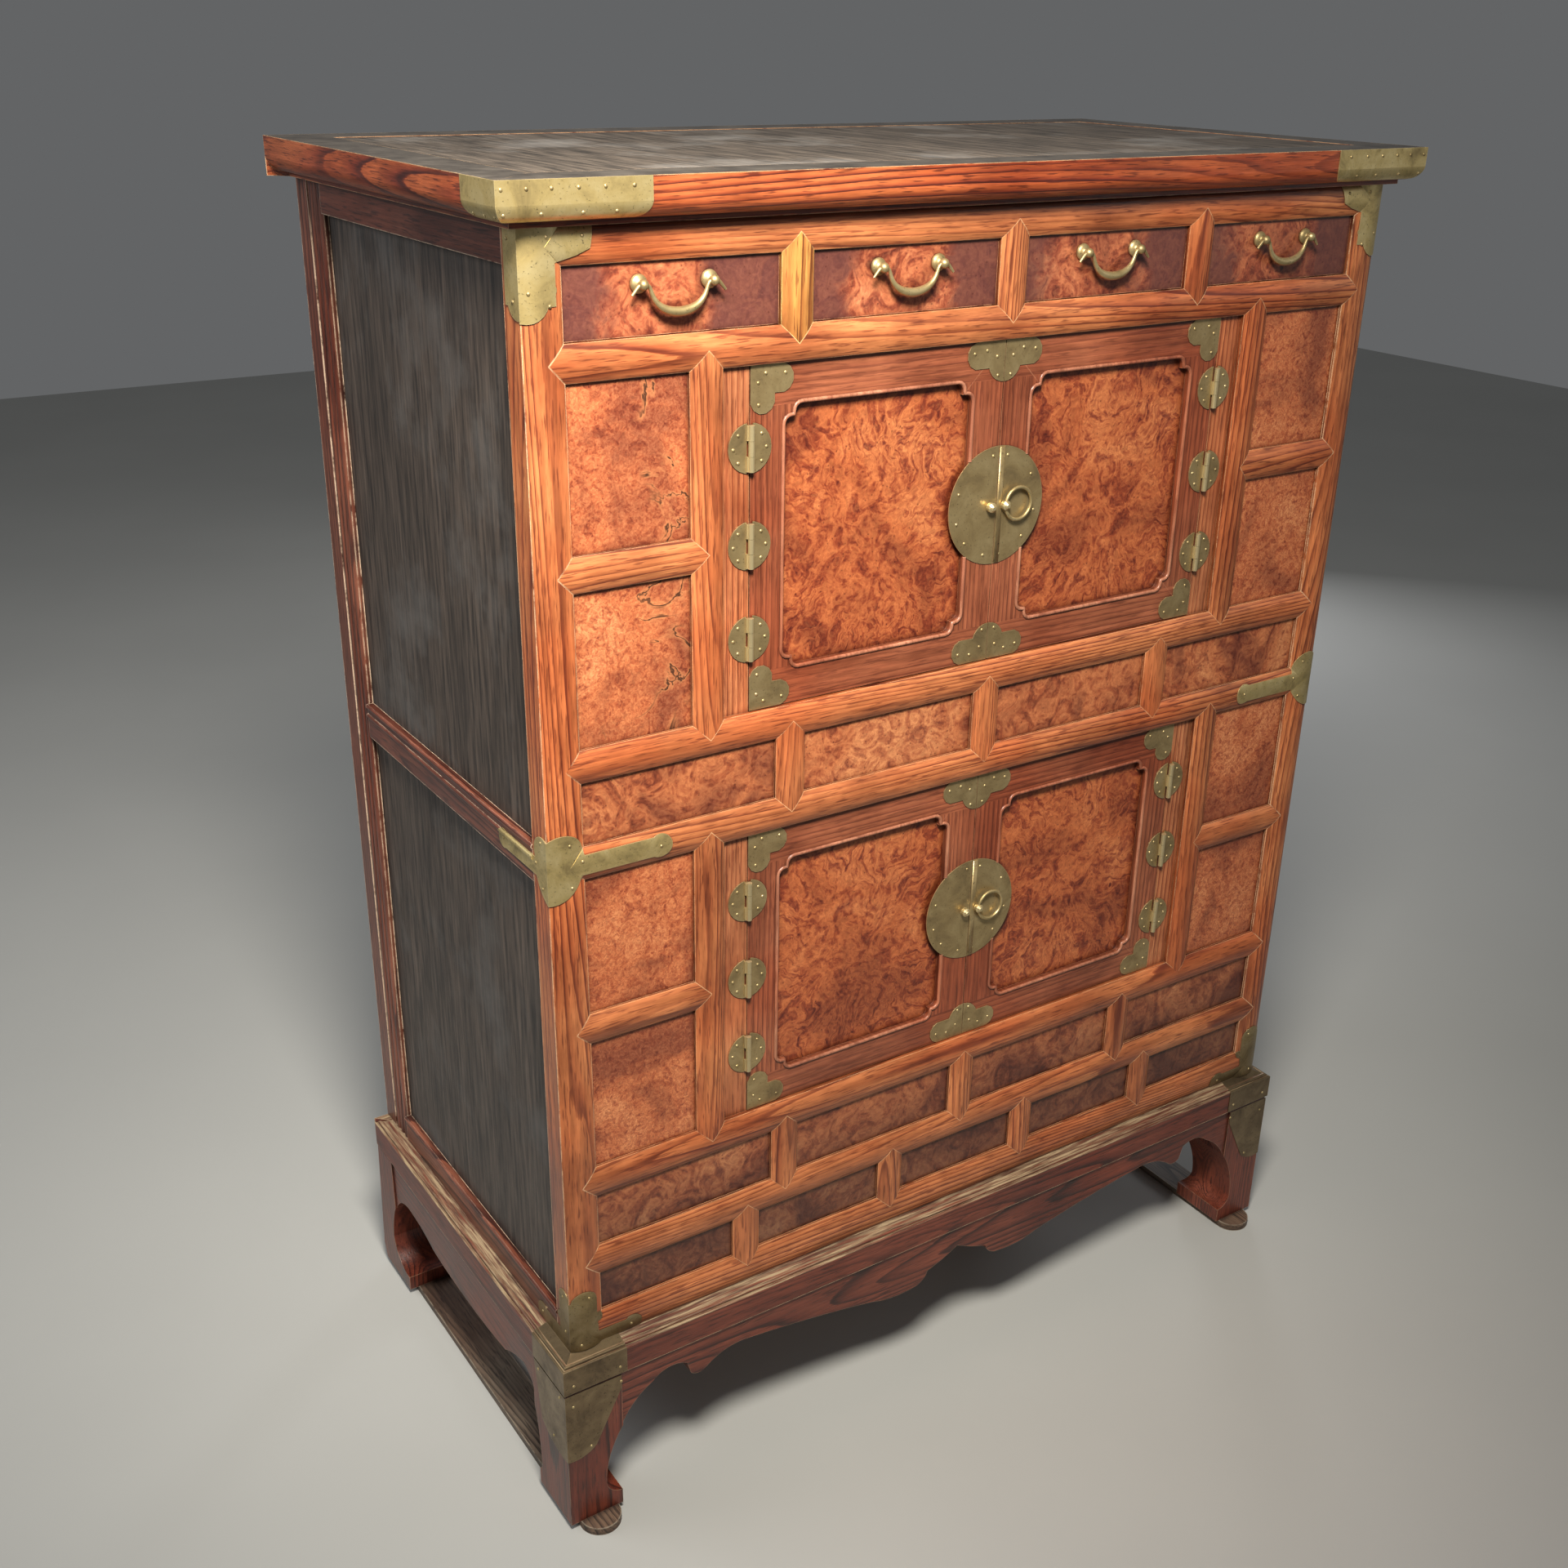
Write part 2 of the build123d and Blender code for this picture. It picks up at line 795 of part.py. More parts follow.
def leg_side_outline(outer, toe, ankle, inner, rise, splay):
    """Side view of a leg: outer, toe, ankle and inner are places along y."""
    sides = Polyline(
        (inner, knee_level), (inner, moulding_bottom), (outer, moulding_bottom),
        (outer + splay, toe_top), (outer + splay * 0.4, leg_bottom), (toe, leg_bottom),
        (toe, toe_top),
    )
    instep = arc_chain([
        (toe, toe_top), (toe + 0.7 * (ankle - toe), toe_top + 0.3 * rise),
        (ankle, toe_top + rise),
        (ankle + 0.3 * (inner - ankle), (toe_top + rise + knee_level) / 2),
        (inner, knee_level),
    ])
    return make_face(sides + instep)


def chamfer_wedge(outer_x, outer_y, z_top):
    """Cutter for the small chamfer under the moulding, on the front and side."""
    size = shadow_chamfer
    front = side_prism(
        face_of((outer_y, z_top), (outer_y + size, z_top), (outer_y, z_top - size)),
        -outer_x, outer_x,
    )
    side = front_prism(
        face_of((outer_x, z_top), (outer_x - size, z_top), (outer_x, z_top - size)),
        outer_y, case_depth,
    )
    return [front, side]


front_inner = leg_front + leg_reach
rear_inner = leg_rear - rear_leg_reach
front_view = leg_front_outline()
front_leg = front_prism(front_view, leg_front, case_depth) & side_prism(
    leg_side_outline(
        leg_front, leg_front + front_toe_reach, leg_front + ankle_reach, front_inner,
        ankle_rise, 0,
    ),
    0, moulding_half,
)
rear_leg = front_prism(front_view, leg_front, runner_back) & side_prism(
    leg_side_outline(
        leg_rear, leg_rear - rear_toe_reach, leg_rear - rear_ankle_reach, rear_inner,
        2 * ankle_rise, rear_leg_splay,
    ),
    0, moulding_half,
)
wedges = chamfer_wedge(leg_outer, leg_front, moulding_bottom)
front_leg = cut_by(front_leg, wedges)
rear_leg = cut_by(rear_leg, wedges)
add("stand_legs", *both_sides(front_leg), *both_sides(rear_leg))


# Aprons.  The lower edge rises from the legs in an arch, turns at a small
# cusp, and runs in ogees to two low lobes with a notch between them.
apron_half = leg_outer - leg_width
apron_top = moulding_bottom


def apron_outline():
    """The front apron, drawn in x and z."""
    leg, top = apron_half, apron_top
    arch = [
        (leg, knee_level), (leg - 14, top - 48.4), (leg - 37, top - 31),
        (leg - 58, top - 21.4), (leg - 77, top - 26.4),
    ]
    cusp = Line((leg - 77, top - 26.4), (leg - 82, top - 42.4))
    curl = [
        (leg - 82, top - 42.4), (leg - 91, top - 46), (leg - 100, top - 43),
        (leg - 121, top - 31.5), (leg - 148, top - 28.4),
        ((leg - 28) / 2, top - 39.4), (120, top - 54.4),
        (88, top - 61.4), (62, top - 60.4), (48, top - 55), (42, top - 45),
        (25, top - 39), (0, top - 27),
    ]
    half = arc_chain(arch) + cusp + arc_chain(curl)
    border = Polyline((-leg, knee_level), (-leg, top), (leg, top), (leg, knee_level))
    return make_face(half + mirror(half, about=Plane.YZ) + border)


apron_front = leg_front + (apron_inset - leg_inset)
front_board = front_prism(apron_outline(), apron_front, apron_front + apron_thickness)
front_board = cut_by(front_board, [chamfer_wedge(leg_outer, apron_front, apron_top)[0]])
rear_board = block(
    -apron_half, apron_half, leg_rear - apron_thickness, leg_rear,
    apron_top - rear_apron_height, apron_top,
)
add("stand_aprons", front_board, rear_board)


def side_apron():
    """A board with an arch next to each leg and a low drop between them."""
    outer = leg_outer - (apron_inset - leg_inset)
    near, far, top = front_inner, rear_inner, apron_top
    edge = arc_chain([
        (near, knee_level), (near + 9.5, top - 46), (near + 28, top - 36),
        (near + 52, top - 43), (near + 75, top - 55),
        ((near + far) / 2, top - 61), (far - 114, top - 56),
        (far - 86, top - 48), (far - 54, top - 44),
        (far - 19, top - 50), (far, knee_level),
    ])
    border = Polyline((far, knee_level), (far, top), (near, top), (near, knee_level))
    board = side_prism(make_face(edge + border), outer - apron_thickness, outer)
    return cut_by(board, [chamfer_wedge(outer, leg_front, apron_top)[1]])


add("stand_aprons", *both_sides(side_apron()))

runner_middle = case_half + moulding_overhang - runner_inset


def runner():
    """A flat strip with round ends under the feet of one side."""
    length = runner_front + runner_back
    outline = Pos(runner_middle, middle_y) * SlotOverall(length, runner_width, rotation=90)
    return plan_prism(outline, 0, runner_thickness)


add("stand_runners", *both_sides(runner()))


# ---------------------------------------------------------------- drawers
def drawer(number, x0, x1):
    """A lap-fronted box: front, two sides, back and bottom."""
    left, right = x0 + drawer_gap, x1 - drawer_gap
    low = drawer_row_bottom + drawer_gap
    high = top_rail_bottom - drawer_gap
    front_rear = panel_recess + drawer_front_thickness
    rear = front_rear + drawer_length
    top = low + drawer_side_height
    name = f"drawer_{number}"
    add(f"{name}_front", block(left, right, panel_recess, front_rear, low, high))
    inner_left, inner_right = left + drawer_board, right - drawer_board
    add(
        f"{name}_box",
        block(left, inner_left, front_rear, rear, low, top),
        block(inner_right, right, front_rear, rear, low, top),
        block(inner_left, inner_right, rear - drawer_board, rear, low, top),
        block(inner_left, inner_right, front_rear, rear - drawer_board, low, low + drawer_bottom),
    )


bail_y = panel_recess - bail_reach
bail_z = (drawer_row_bottom + top_rail_bottom) / 2 + bail_rise


def bail_post(x):
    """A stepped rosette with a bored eye standing on its stem."""
    foot = Plane(origin=(x, panel_recess, bail_z), x_dir=(1, 0, 0), z_dir=(0, -1, 0))
    dome = extrude(foot * RegularPolygon(bail_dome_radius, turned_sides), amount=bail_dome_height)
    rim = dome.edges().group_by(Axis.Y)[0]
    dome = chamfer(rim, bail_dome_slope)
    stem = extrude(foot * RegularPolygon(bail_stem_radius, stem_sides), amount=bail_reach)
    side = Plane(
        origin=(x - bail_eye_width / 2, bail_y, bail_z), x_dir=(0, 1, 0), z_dir=(1, 0, 0)
    )
    eye = extrude(side * RegularPolygon(bail_eye_radius, turned_sides), amount=bail_eye_width)
    bore = Pos(x, bail_y, bail_z) * Rot(0, 90, 0) * Cylinder(
        bail_wire + bail_bore_gap, 2 * bail_eye_width
    )
    return dome + stem + eye - bore


def bail(x):
    """A crescent with swan necks and two tips, joined by the pins in the eyes."""
    inner = bail_spread - bail_eye_width / 2 - bail_side_gap
    outer = bail_spread + bail_eye_width / 2 + bail_side_gap
    upper = [
        (inner, bail_wire), (inner - 4.3, 0.6), (inner - 6.3, -3.0), (inner - 6.6, -7.0),
        (inner - 8.9, -10.4), (inner - 17.5, 2 - 0.8 * bail_drop), (0, bail_belly - bail_drop),
    ]
    lower = [
        (inner, -bail_wire), (inner - 2.5, -2.2), (inner - 3.6, -4.2), (inner - 3.1, -9.0),
        (inner - 5.9, -14.0), (inner - 15.3, -bail_drop - 0.8), (0, -bail_belly - bail_drop),
    ]
    mirrored = [
        [(-across, rise) for across, rise in reversed(edge[:-1])] for edge in (upper, lower)
    ]
    edge = upper + mirrored[0]
    back = lower + mirrored[1]
    crescent = face_of(*edge, *reversed(back))
    tip = face_of(
        (outer, bail_wire), (outer + 2.4, 1.3), (outer + bail_tip_reach, 1 - bail_tip_drop),
        (outer + bail_tip_reach - 2.2, -bail_tip_drop - 0.8), (outer + 1.6, -bail_wire),
        (outer, -bail_wire),
    )
    flat = Pos(x, bail_z) * (crescent + tip + mirror(tip, about=Plane.YZ))
    shape = front_prism(flat, bail_y - bail_wire, bail_y + bail_wire)
    for way in (-1, 1):
        pin = Pos(x + way * bail_spread, bail_y, bail_z) * Rot(0, 90, 0) * Cylinder(
            bail_wire, outer - inner
        )
        shape += pin
    return shape


for index, (x0, x1) in enumerate(drawer_spans):
    number = index + 1
    middle = (x0 + x1) / 2
    drawer(number, x0, x1)
    posts = [bail_post(middle - bail_spread), bail_post(middle + bail_spread)]
    add(f"drawer_{number}_posts", *posts)
    add(f"drawer_{number}_bail", bail(middle))


# ---------------------------------------------------------------- doors
# Each door is a mitred frame round a cusped opening, with a panel in a rebate
# behind it.
def cusped_corner(x, z, dx, dz):
    """One corner of the opening: two round shoulders and a point between them."""
    step = cusp_step
    run = cusp_radius
    rail_end = (x + dx * (step + run), z)
    shoulder_one = (x + dx * step, z + dz * run)
    tip = (x + dx * step, z + dz * step)
    shoulder_two = (x + dx * run, z + dz * step)
    stile_end = (x, z + dz * (step + run))
    bow = 0.29
    first = (x + dx * (step + run * bow), z + dz * run * bow)
    second = (x + dx * run * bow, z + dz * (step + run * bow))
    return (
        ThreePointArc(rail_end, first, shoulder_one)
        + Line(shoulder_one, tip)
        + Line(tip, shoulder_two)
        + ThreePointArc(shoulder_two, second, stile_end)
    )


def cusped_opening(x0, x1, z0, z1):
    reach = cusp_step + cusp_radius
    outline = (
        cusped_corner(x0, z0, 1, 1) + cusped_corner(x1, z0, -1, 1)
        + cusped_corner(x1, z1, -1, -1) + cusped_corner(x0, z1, 1, -1)
    )
    outline += Line((x0 + reach, z0), (x1 - reach, z0))
    outline += Line((x1, z0 + reach), (x1, z1 - reach))
    outline += Line((x1 - reach, z1), (x0 + reach, z1))
    outline += Line((x0, z1 - reach), (x0, z0 + reach))
    return make_face(outline)


def lock_disc(z, radius, y0, y1):
    return front_prism(Pos(0, z) * Circle(radius), y0, y1)


def right_door_frame(z0, z1):
    """Four mitred members of a right door round its cusped opening."""
    x0, x1 = door_meeting, door_outer
    inner = (x0 + door_member, x1 - door_member, z0 + door_member, z1 - door_member)
    outer_rect = face_of((x0, z0), (x1, z0), (x1, z1), (x0, z1))
    opening = cusped_opening(*inner)
    front = jamb_recess
    back = front + door_thickness
    ring = front_prism(outer_rect - opening, front, back)
    rebate = block(
        inner[0] - door_rebate, inner[1] + door_rebate, front + door_panel_recess, back,
        inner[2] - door_rebate, inner[3] + door_rebate,
    )
    ring = ring - rebate
    middle, reach = (x0 + x1) / 2, (x1 - x0) / 2
    plans = [
        face_of((x0, z0), (x1, z0), (middle, z0 + reach)),
        face_of((x0, z1), (x1, z1), (middle, z1 - reach)),
        face_of((x0, z0), (middle, z0 + reach), (middle, z1 - reach), (x0, z1)),
        face_of((x1, z0), (middle, z0 + reach), (middle, z1 - reach), (x1, z1)),
    ]
    members = [ring & front_prism(plan, -10, back) for plan in plans]
    inset = door_rebate - 0.3
    panel = block(
        inner[0] - inset, inner[1] + inset,
        front + door_panel_recess, front + door_panel_recess + door_panel_thickness,
        inner[2] - inset, inner[3] + inset,
    )
    return members, panel


def half_disc(z, outward):
    """One half of a round hinge plate, on the jamb or on the door side."""
    disc = front_prism(
        Pos(hinge_x, z) * RegularPolygon(hinge_disc_radius, disc_sides),
        jamb_recess - hinge_plate, jamb_recess,
    )
    clear = knuckle_radius + leaf_clear
    near = hinge_x + clear if outward else hinge_x - hinge_disc_radius
    far = hinge_x + hinge_disc_radius if outward else hinge_x - clear
    return disc & block(
        near, far, -10, 10, z - hinge_disc_radius, z + hinge_disc_radius
    )


def barrel(z0, z1, radius):
    return Pos(hinge_x, hinge_y, (z0 + z1) / 2) * Cylinder(radius, z1 - z0)


def knuckle(z0, z1):
    outline = Pos(hinge_x, hinge_y) * RegularPolygon(knuckle_radius, turned_sides)
    return plan_prism(outline, z0, z1)


def knuckle_web(z0, z1, outward):
    """The strap that rolls off the plate into a knuckle."""
    clear = knuckle_radius + 2 * leaf_clear
    x0, x1 = (hinge_x, hinge_x + clear) if outward else (hinge_x - clear, hinge_x)
    return block(x0, x1, hinge_y + knuckle_radius - 2 * hinge_plate, jamb_recess, z0, z1)


knuckle_length = (hinge_length - 2 * knuckle_gap) / 3


def jamb_leaf(z):
    """The fixed leaf: half a disc, two knuckles and the pin."""
    half = hinge_length / 2
    leaf = half_disc(z, True)
    for z0, z1 in ((z - half, z - half + knuckle_length), (z + half - knuckle_length, z + half)):
        leaf += knuckle(z0, z1) + knuckle_web(z0, z1, True)
    return leaf + barrel(z - half, z + half, pin_radius)


def door_leaf(z):
    """The swinging leaf: half a disc and the middle knuckle, bored for the pin."""
    z0, z1 = z - knuckle_length / 2, z + knuckle_length / 2
    leaf = half_disc(z, False) + knuckle(z0, z1) + knuckle_web(z0, z1, False)
    return leaf - barrel(z0 - 5, z1 + 5, pin_radius + pin_clearance)


def corner_plate(x, z, dx, dz):
    """A two-lobed brass plate on one corner of a door."""
    end = corner_lobe * cos_of_half_side
    outline = Sketch() + [
        Pos(x + dx * 16, z + dz * end) * Rectangle(32, 2 * end),
        Pos(x + dx * end, z + dz * 15) * Rectangle(2 * end, 30),
        lobe(x + dx * (corner_across - corner_lobe), z + dz * end, corner_lobe),
        lobe(x + dx * end, z + dz * (corner_up - corner_lobe), corner_lobe),
    ]
    return front_prism(outline, jamb_recess - brass, jamb_recess)


def meeting_plate(x, z, dz):
    """Half of the cloud at the meeting edge: a lobe on the edge and one beside it."""
    end = corner_lobe * cos_of_half_side
    outline = Sketch() + [
        Pos(x + 16, z + dz * end) * Rectangle(32, 2 * end),
        lobe(x + corner_across - corner_lobe, z + dz * end, corner_lobe),
        rounded(x, z + dz * (meeting_up - meeting_lobe), meeting_lobe),
    ]
    above, below = (z + 2 * corner_up, z) if dz > 0 else (z, z - 2 * corner_up)
    half = block(x, x + corner_across, -10, 10, below, above)
    return front_prism(outline, jamb_recess - brass, jamb_recess) & half


def ball_post(lock_z, bored):
    """A stem with a faceted ball on the meeting edge; the right one carries the ring."""
    plate_face = jamb_recess - brass
    foot = Plane(origin=(ball_offset, plate_face, lock_z), x_dir=(1, 0, 0), z_dir=(0, -1, 0))
    stem = extrude(foot * RegularPolygon(ball_stem_radius, stem_sides), amount=plate_face - ball_y)
    outline = Pos(ball_offset, lock_z) * RegularPolygon(ball_radius, turned_sides)
    ball = front_prism(outline, ball_y - ball_radius, ball_y + ball_radius)
    rims = ball.edges().group_by(Axis.Y)
    ball = chamfer(rims[0] + rims[-1], ball_radius * ball_facet)
    post = stem + ball
    if bored:
        post -= Pos(ball_offset, ball_y, lock_z) * Cylinder(ring_bore, 4 * ball_radius)
    return post


def pull_ring(lock_z):
    """A forged ring with chamfered edges, hanging in the bore of the right ball."""
    hub = Pos(ball_offset + ring_radius, lock_z)
    band = hub * (
        RegularPolygon(ring_radius + ring_wire, ring_sides)
        - RegularPolygon(ring_radius - ring_wire, ring_sides)
    )
    ring = front_prism(band, ball_y - ring_wire, ball_y + ring_wire)
    rims = ring.edges().filter_by(Axis.Y, reverse=True)
    return chamfer(rims, ring_chamfer)


def right_door_brass(z0, z1, lock_z, bored):
    plates = [
        meeting_plate(door_meeting, z0, 1), corner_plate(door_outer, z0, -1, 1),
        meeting_plate(door_meeting, z1, -1), corner_plate(door_outer, z1, -1, -1),
    ]
    for step in (-1, 0, 1):
        plates.append(door_leaf(lock_z + step * hinge_pitch))
    half_plate = lock_disc(lock_z, lock_plate_radius, jamb_recess - brass, jamb_recess)
    half_plate = half_plate & block(
        door_meeting, lock_plate_radius, -10, 10, lock_z - lock_plate_radius, lock_z + lock_plate_radius
    )
    plates.append(half_plate)
    plates.append(ball_post(lock_z, bored))
    return plates


for tier, (row_bottom, row_top) in door_rows.items():
    z0, z1 = row_bottom + door_gap, row_top - door_gap
    lock_z = (row_bottom + row_top) / 2
    members, panel = right_door_frame(z0, z1)
    add(f"{tier}_right_door_frame", *members)
    add(f"{tier}_right_door_panel", panel)
    add(f"{tier}_right_door_brass", *right_door_brass(z0, z1, lock_z, True))
    add(f"{tier}_left_door_frame", *[mirror(member, about=Plane.YZ) for member in members])
    add(f"{tier}_left_door_panel", mirror(panel, about=Plane.YZ))
    left_brass = right_door_brass(z0, z1, lock_z, False)
    add(f"{tier}_left_door_brass", *[mirror(plate, about=Plane.YZ) for plate in left_brass])
    add(f"{tier}_ring", pull_ring(lock_z))
    for step in (-1, 0, 1):
        add("hinge_leaves", *both_sides(jamb_leaf(lock_z + step * hinge_pitch)))


# ---------------------------------------------------------------- brass on the case
# Thin sheet that follows the wood under it: the wood is moved outwards by the
# thickness of the sheet, the wood itself is taken away, and the outline of the
# plate is cut out of what is left.
def sheet_on(wood, outline):
    return (Pos(brass, -brass, 0) * wood & outline) - wood


def front_plate(sketch):
    return front_prism(sketch, -3 * pillow_crest, 0)


def side_plate(sketch):
    return side_prism(sketch, case_half, case_half + 3)


def head_plate():
    """On a post head: one round lobe below, folded along the arris, and an arm."""
    low = case_top - head_plate_drop
    front = Sketch() + [
        Pos(case_half - 14, (low + case_top) / 2 + 6) * Rectangle(30, case_top - low - 12),
        rounded(case_half - 4, low + 19, 19),
        lobe(case_half - 25, low + 24, 5),
        face_of(
            (case_half, case_top), (case_half - plate_reach, case_top),
            (case_half - plate_reach + 4, case_top - 17), (case_half - plate_reach + 16, case_top - 22),
            (case_half - 27, case_top - 27), (case_half, case_top - 27),
        ),
    ]
    side = Sketch() + [
        Pos(11, (low + case_top) / 2 + 6) * Rectangle(24, case_top - low - 12),
        rounded(3, low + 19, 17),
        lobe(18, low + 24, 5),
    ]
    return front_plate(front) + side_plate(side)


def tier_plate():
    """On a post at the tiers: a folded heart with a strap on each rail."""
    level = (tier_rail_bottom + upper_band_bottom) / 2
    tip = level - 33
    heart = make_face(
        Polyline(
            (case_half, tip), (case_half + 2, tip), (case_half + 2, level + 28),
            (case_half, level + 28),
        )
        + ThreePointArc(
            (case_half, level + 28), (case_half - 22, level + 31), (case_half - 34, level + 12)
        )
        + ThreePointArc((case_half - 34, level + 12), (case_half - 30, level - 14), (case_half, tip))
    )
    front = Sketch() + [
        heart,
        Pos(case_half - 66, level) * Rectangle(80, 19),
        rounded(case_half - 110, level, 11.5),
    ]
    cheek = make_face(
        Polyline((0, level + 28), (-2, level + 28), (-2, tip), (0, tip))
        + ThreePointArc((0, tip), (19, level - 14), (22, level + 8))
        + ThreePointArc((22, level + 8), (14, level + 29), (0, level + 28))
    )
    side = Sketch() + [
        cheek,
        Pos(50, level - 2) * Rectangle(74, 17),
        rounded(88, level - 2, 9.6),
    ]
    return front_plate(front) + side_plate(side)


def foot_plate():
    """On a post foot: a pair of lobes above and a low arm along each rail."""
    top = case_bottom + foot_plate_rise
    front = Sketch() + [
        Pos(case_half - 14, case_bottom + 29) * Rectangle(30, 60),
        rounded(case_half - 15, top - 14, 14),
        lobe(case_half - 30, case_bottom + 34, 5),
        Pos(case_half - 33, case_bottom + 8) * Rectangle(68, 18),
        rounded(case_half - plate_reach - 5, case_bottom + 9, 11),
    ]
    side = Sketch() + [
        Pos(9, case_bottom + 29) * Rectangle(22, 60),
        rounded(10, top - 10, 10),
        lobe(20, case_bottom + 34, 5),
        Pos(30, case_bottom + 8) * Rectangle(62, 18),
        rounded(60, case_bottom + 9, 11),
    ]
    return front_plate(front) + side_plate(side)


post_solid = upright_bar(wing_outer, case_half, case_bottom, case_top, post_depth)


def corner_wood(rail_name, side_level, beads):
    """Post, front rail and side rail at one corner, as one block of wood."""
    level = rail_levels[rail_name]
    rail_head = level_points(-wing_outer, wing_outer, *level)
    rail = pointed_level(-wing_outer, wing_outer, *level)
    return (post_solid - rail_head) + rail + side_rail(*side_level, beads)


add(
    "post_brass",
    *both_sides(sheet_on(corner_wood("top_rail", side_rail_levels[2], 0), head_plate())),
    *both_sides(sheet_on(corner_wood("tier_rail", side_rail_levels[1], 2), tier_plate())),
    *both_sides(sheet_on(corner_wood("bottom_rail", side_rail_levels[0], 1), foot_plate())),
)

# caps on the corners of the cornice
cap_low = case_top + lip_height + 1
cornice_wood = cornice_front + cornice_side


def cap_flap(length):
    """One flap of a cap, from its end, whose lower corner is rounded, to the mitre."""
    middle = cap_round * (1 - cos(pi / 4))
    return make_face(
        Polyline(
            (cap_round, cap_low), (length, cap_low), (length, chest_top), (0, chest_top),
            (0, cap_low + cap_round),
        )
        + ThreePointArc((0, cap_low + cap_round), (middle, cap_low + middle), (cap_round, cap_low))
    )


cap_outline = front_prism(
    Pos(cornice_half - cap_front, 0) * cap_flap(cap_front + 2), -cornice_overhang - 2, 0
) + side_prism(
    Pos(cap_side - cornice_overhang, 0) * mirror(cap_flap(cap_side + 2), about=Plane.YZ),
    case_half, cornice_half + 2,
)
add("top_corner_brass", *both_sides(sheet_on(cornice_wood, cap_outline)))

# caps on the corners of the stand moulding, and plates on the front legs
moulding_wood = stand_front + stand_side
stand_cap_outline = (
    block(
        moulding_half - stand_cap, moulding_half + 2, -moulding_overhang - 2, -1,
        moulding_bottom + 1, case_bottom,
    )
    + block(
        case_half + 1, moulding_half + 2, -moulding_overhang - 2, stand_cap - moulding_overhang,
        moulding_bottom + 1, case_bottom,
    )
)
add("stand_brass", *both_sides(sheet_on(moulding_wood, stand_cap_outline)))


def leg_plate():
    """A shield folded round the corner of a leg, down to its ankle."""
    top = moulding_bottom - shadow_chamfer
    low = top - leg_plate_drop
    front = make_face(
        Polyline(
            (leg_outer, low), (leg_outer + 2, low), (leg_outer + 2, top),
            (leg_outer - leg_width - 3, top), (leg_outer - leg_width - 3, top - 8),
            (leg_outer - 32, low + 9),
        )
        + ThreePointArc(
            (leg_outer - 32, low + 9), (leg_outer - 19, low + 1), (leg_outer, low)
        )
    )
    side = make_face(
        Polyline(
            (leg_front, low), (leg_front - 2, low), (leg_front - 2, top),
            (leg_front + leg_reach - 6, top), (leg_front + ankle_reach - 9, low + 14),
        )
        + ThreePointArc(
            (leg_front + ankle_reach - 9, low + 14), (leg_front + 30, low + 1), (leg_front, low)
        )
    )
    return front_prism(front, leg_front - 3, leg_front) + side_prism(
        side, leg_outer, leg_outer + 3
    )


add("stand_brass", *both_sides(sheet_on(front_leg, leg_plate())))

# ---------------------------------------------------------------- files
os.makedirs("parts", exist_ok=True)
for node, solids in parts.items():
    placed = [Pos(0, -middle_y, 0) * solid for shape in solids for solid in shape.solids()]
    shape = placed[0] if len(placed) == 1 else Compound(children=placed)
    export_step(shape, f"parts/{node}.step")
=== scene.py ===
from math import cos, pi, radians, sin, sqrt, tau

import bmesh
import bpy
from mathutils import Matrix, Vector
from mathutils.bvhtree import BVHTree


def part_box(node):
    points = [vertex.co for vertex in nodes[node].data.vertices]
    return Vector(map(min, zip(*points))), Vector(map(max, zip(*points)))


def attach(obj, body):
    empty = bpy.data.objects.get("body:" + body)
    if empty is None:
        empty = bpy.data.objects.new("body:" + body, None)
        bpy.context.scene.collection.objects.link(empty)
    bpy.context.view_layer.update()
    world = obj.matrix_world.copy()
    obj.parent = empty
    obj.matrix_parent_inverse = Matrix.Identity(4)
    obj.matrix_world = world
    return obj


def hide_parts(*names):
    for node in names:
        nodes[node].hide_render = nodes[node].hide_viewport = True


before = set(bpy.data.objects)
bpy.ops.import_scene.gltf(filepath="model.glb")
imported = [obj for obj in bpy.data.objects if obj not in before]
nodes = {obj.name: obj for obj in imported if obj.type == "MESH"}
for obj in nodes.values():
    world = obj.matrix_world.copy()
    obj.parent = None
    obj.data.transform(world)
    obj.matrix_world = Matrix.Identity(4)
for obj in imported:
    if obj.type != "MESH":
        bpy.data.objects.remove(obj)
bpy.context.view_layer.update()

# ---------------------------------------------------------------- room
# A camera a little left of the chest and above it, a plain pale floor, and four
# soft lamps: one over the left front, a weak one at the right, and two behind, of
# which the one at the right stands lower than the top and so leaves it unlit.
camera_place = Vector((-1.0490, -1.4684, 1.4277))
camera_azimuth = 33.97  # degrees, as are the drop and the roll
camera_drop = 24.81
camera_roll = 1.075
camera_lens = 39.93  # millimetres
camera_shift = (-0.0106, 0.0216)

ahead = Vector((
    sin(radians(camera_azimuth)) * cos(radians(camera_drop)),
    cos(radians(camera_azimuth)) * cos(radians(camera_drop)),
    -sin(radians(camera_drop)),
))
camera_data = bpy.data.cameras.new("camera")
camera_data.lens = camera_lens
camera_data.shift_x, camera_data.shift_y = camera_shift
camera = bpy.data.objects.new("camera", camera_data)
bpy.context.collection.objects.link(camera)
turn = ahead.to_track_quat("-Z", "Y").to_matrix().to_4x4()
camera.matrix_world = (
    Matrix.Translation(camera_place) @ turn @ Matrix.Rotation(radians(camera_roll), 4, "Z")
)
bpy.context.scene.camera = camera
bpy.context.scene.view_settings.view_transform = "Standard"


